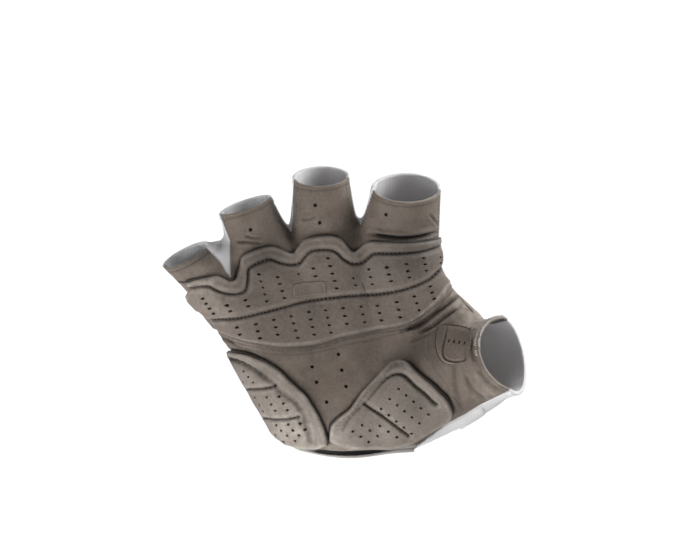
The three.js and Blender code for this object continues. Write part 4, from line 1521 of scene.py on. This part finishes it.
PHOTO_WIDTH, PHOTO_HEIGHT = 700, 556
PHOTO_SCALE = 0.00036
PHOTO_ORIGIN = (385, 445)
CAMERA_DISTANCE = 2.6
FLOOR_LEVEL = -0.55


def studio():
    width, near, far, bend, top, steps = 4.0, -2.9, 2.2, 0.7, 3.2, 12
    profile = [(near, 0.0), (far, 0.0)]
    for i in range(1, steps + 1):
        angle = math.pi / 2 * i / steps
        profile.append((far + bend * math.sin(angle), bend * (1 - math.cos(angle))))
    profile.append((far + bend, top))
    vertices = [(side * width, y, FLOOR_LEVEL + z) for y, z in profile for side in (-1, 1)]
    faces = [(2 * i, 2 * i + 1, 2 * i + 3, 2 * i + 2) for i in range(len(profile) - 1)]
    mesh = bpy.data.meshes.new("floor")
    mesh.from_pydata(vertices, [], faces)
    mesh.shade_smooth()
    n = Nodes("pale_floor", 0.9, specular=0.1)
    paper = n.noise(0.02, 3, 0.5)
    mesh.materials.append(n.finish(n.mix(paper, (0.86, 0.86, 0.86, 1), (0.9, 0.9, 0.9, 1))))
    floor = placed("floor", mesh)


def soft_light(name, place, aim, size, power):
    data = bpy.data.lights.new(name, "AREA")
    data.shape = "RECTANGLE"
    data.size, data.size_y = size
    data.energy = power
    light = placed(name, data)
    light.location = place
    light.rotation_euler = (Vector(aim) - Vector(place)).to_track_quat("-Z", "Y").to_euler()


def lights():
    middle = (-0.01, 0.0, 0.045)
    soft_light("left_key", (-0.5, -0.3, -0.1), middle, (0.3, 0.4), 1.9)
    soft_light("low_key", (-0.3, -0.75, -0.65), middle, (0.6, 0.35), 3.8)
    soft_light("low_near", (-0.12, -0.22, -0.22), (-0.02, 0, 0.01), (0.25, 0.12), 0.6)
    soft_light("front_fill", (-0.1, -1.3, 0.1), middle, (0.9, 0.7), 0.45)
    soft_light("right_edge", (0.33, -0.05, 0.28), (0.04, -0.01, 0.045), (0.3, 0.3), 2.1)
    soft_light("back_left", (-0.7, 0.8, 0.6), middle, (0.8, 0.8), 1.0)
    soft_light("back_right", (0.8, 0.7, 0.4), middle, (0.8, 0.8), 1.0)
    soft_light("sweep", (0.0, 1.5, 1.6), (0, 2.8, 0.1), (2.5, 1.2), 56)
    world = bpy.data.worlds.new("studio")
    world.use_nodes = True
    background = world.node_tree.nodes["Background"]
    background.inputs["Color"].default_value = (1, 1, 1, 1)
    background.inputs["Strength"].default_value = 0.2
    bpy.context.scene.world = world


def camera():
    data = bpy.data.cameras.new("camera")
    data.sensor_width = 36
    data.clip_end = 30
    data.lens = data.sensor_width * CAMERA_DISTANCE / (PHOTO_WIDTH * PHOTO_SCALE)
    view = placed("camera", data)
    x = (PHOTO_WIDTH / 2 - PHOTO_ORIGIN[0]) * PHOTO_SCALE
    z = (PHOTO_ORIGIN[1] - PHOTO_HEIGHT / 2) * PHOTO_SCALE
    view.location = (x, -CAMERA_DISTANCE, z)
    view.rotation_euler = (math.pi / 2, 0, 0)
    bpy.context.scene.camera = view


# The glove

LEATHER = (rgb(105, 93, 84), rgb(88, 77, 68), rgb(155, 145, 134))
PAD_LEATHER = (rgb(108, 97, 89), rgb(91, 81, 73), rgb(162, 153, 143))
# The heel pads' leather is painted paler than the other pads': painted light on the lower pads
HEEL_LEATHER_PAINTED_LIGHT = (rgb(122, 112, 103), rgb(104, 94, 86), rgb(178, 170, 161))


def build_pads(front, pad_leather, heel_leather_painted_light):
    """The three pads. Creases are rows of line, depth, width, pitch, pucker, start and end"""
    knuckle = build_pad("knuckle_pad_leather", "knuckle_pad", front, KNUCKLE_OUTLINE, KNUCKLE_TOP, (
        (KNUCKLE_CREASE, 0.9, 0.5),
        (KNUCKLE_DIVIDER, 1.0, 0.5, 1.4, 0.6),
    ), KNUCKLE_HOLES, KNUCKLE_HOLE_WIDTH, [pad_leather] * 3, KNUCKLE_CELLS, TAB_OUTLINE)
    outline = OUTER_HEEL_OUTLINE
    build_pad("outer_heel_pad_leather", "outer_heel_pad", front, outline, OUTER_HEEL_EDGE, (
        (OUTER_HEEL_CREASE, 1.4, 1.2, 2.4, 0.35, 1.0, 0.5),
        (OUTER_HEEL_GROOVES[0], 0.8, 0.45),
        (OUTER_HEEL_GROOVES[1], 0.8, 0.45),
    ), OUTER_HEEL_HOLES, HEEL_HOLE_WIDTH, [heel_leather_painted_light] * 3)
    outline = THUMB_HEEL_OUTLINE
    heel = build_pad("thumb_heel_pad_leather", "thumb_heel_pad", front, outline, THUMB_HEEL_EDGE, (
        (THUMB_HEEL_CREASE, 1.0, 0.6, 2.2, 0.35, 0.35, 1.0),
        (THUMB_HEEL_GROOVE, 0.9, 0.45),
    ), THUMB_HEEL_HOLES, HEEL_HOLE_WIDTH, [heel_leather_painted_light] * 3)
    return knuckle, heel


# Kinds of stitches: pitch, length, radius and lift
EDGE_ROW = (1.5, 0.9, 0.13, 0.1)
HEM_ROW = (1.2, 0.8, 0.11, 0.08)
CREASE_ROW = (1.5, 1.0, 0.13, 0.12)
PAD_HEM_ROW = (1.15, 0.8, 0.13, 0.1)
HEEL_CREASE_ROW = (1.6, 0.8, 0.13, 0.1)
HEEL_EDGE_ROW = (1.8, 0.8, 0.12, 0.08)
TICK_ROW = (1.5, 1.7, 0.2, 0.15)
OVERLOCK_ROW = (0.75, 1.3, 0.17, 0.2)
BACK_HEM_ROW = (1.5, 1.0, 0.13, 0.1)
TICK_TURN = 1.2
OVERLOCK_TURN = 1.1
TICKS = np.array([(21.8, 43.6), (26.0, 43.4), (32.0, 41.8)])


def height_of(relief):
    return lambda p: relief(p)[0]


def between(line, low, high):
    return line[(line[:, 0] > low) & (line[:, 0] < high)]


def sew_pads(knuckle, heel, material):
    """Stitches in the valleys and hems of the pads whose reliefs are given"""
    rows = []
    for line in (KNUCKLE_CREASE, KNUCKLE_DIVIDER):
        rows += row_on_front(between(line, -66, 20), CREASE_ROW, height_of(knuckle), CREASE_RISE)
    for reach in (0.9, 2.1):
        line = between(shifted(KNUCKLE_LOWER_CREASE, -reach), -58, 17)
        rows += row_on_front(line, PAD_HEM_ROW, height_of(knuckle), PAD_EDGE_RISE)
    stitches("knuckle_pad_stitches", rows, material)

    rows = row_on_front(THUMB_HEEL_CREASE[:50], HEEL_CREASE_ROW, height_of(heel), CREASE_RISE)
    line = shifted(THUMB_HEEL_EDGE[8:60], -1.6)
    rows += row_on_front(line, HEEL_EDGE_ROW, height_of(heel), PAD_TOP_RISE)
    stitches("thumb_heel_stitches", rows, material)


def build_glove():
    leather = leather_material("palm_leather", *LEATHER)
    pad_leather = leather_material("pad_leather", *PAD_LEATHER, grain=0.8)
    heel_leather_painted_light = leather_material("heel_pad_leather", *HEEL_LEATHER_PAINTED_LIGHT, grain=0.8)
    inner = inner_material()
    fabric = fabric_material("stretch_fabric", rgb(236, 235, 236), rgb(218, 217, 219))
    leather_set = [leather, inner, cut_edge_material()]
    tape = tape_material()
    dark_thread = thread_material("dark_thread", rgb(96, 88, 82), rgb(52, 46, 42))
    pale_thread = thread_material("pale_thread", rgb(222, 217, 210), rgb(160, 153, 146))
    white_thread = thread_material("white_thread", rgb(238, 237, 234), rgb(196, 194, 190))

    base = surface_net(NET_LOW, NET_HIGH, NET_STEP)
    palm, thumb = build_leather(base, leather_set)
    back = build_fabric(base, [fabric] * 3)
    build_binding(base, [tape, inner, tape])
    front = part_of(base, lambda p: seam_field(p) < 2)
    knuckle, heel = build_pads(front, pad_leather, heel_leather_painted_light)
    patch = build_patch(front, leather_set)

    def stall_edges(p):
        return (p[:, 2] > 62) & (np.abs(near_rims(p)) > 0.2)

    def thumb_top(p):
        on_patch = depth_inside(PATCH_OUTLINE, p) > 0
        return np.where(on_patch, patch(p)[0], leather_relief(p)[0])

    leather_height = height_of(leather_relief)
    edges = level_lines(palm, lambda p: seam_field(p) + 4.0, stall_edges)
    rows = rows_on_lines(edges, EDGE_ROW, leather_height)
    hems = level_lines(palm, lambda p: near_rims(p) + SEAM_ROW, lambda p: p[:, 2] > 60)
    rows += rows_on_lines(hems, HEM_ROW, leather_height)
    stitches("stall_stitches", rows, dark_thread)

    sew_pads(knuckle, heel, dark_thread)
    rows = row_on_front(TICKS, TICK_ROW, thumb_top, 0.5, TICK_TURN)
    stitches("thumb_patch_stitches", rows, dark_thread)

    overlock = level_lines(thumb, lambda p: near_rims(p) + 0.6, lambda p: p[:, 2] > 32)
    rows = rows_on_lines(overlock, OVERLOCK_ROW, leather_height, OVERLOCK_TURN)
    rows += frayed_edge(thumb, "thumb", lambda p: p[:, 2] > 32)
    stitches("thumb_rim_overlock", rows, pale_thread)
    hems = level_lines(back, lambda p: near_rims(p) + HEM_WIDTH, lambda p: p[:, 2] > -9)
    rows = rows_on_lines(hems, BACK_HEM_ROW, height_of(fabric_relief))
    stitches("back_hem_stitches", rows, white_thread)


camera()
studio()
lights()
build_glove()
bpy.context.scene.view_settings.view_transform = "Standard"
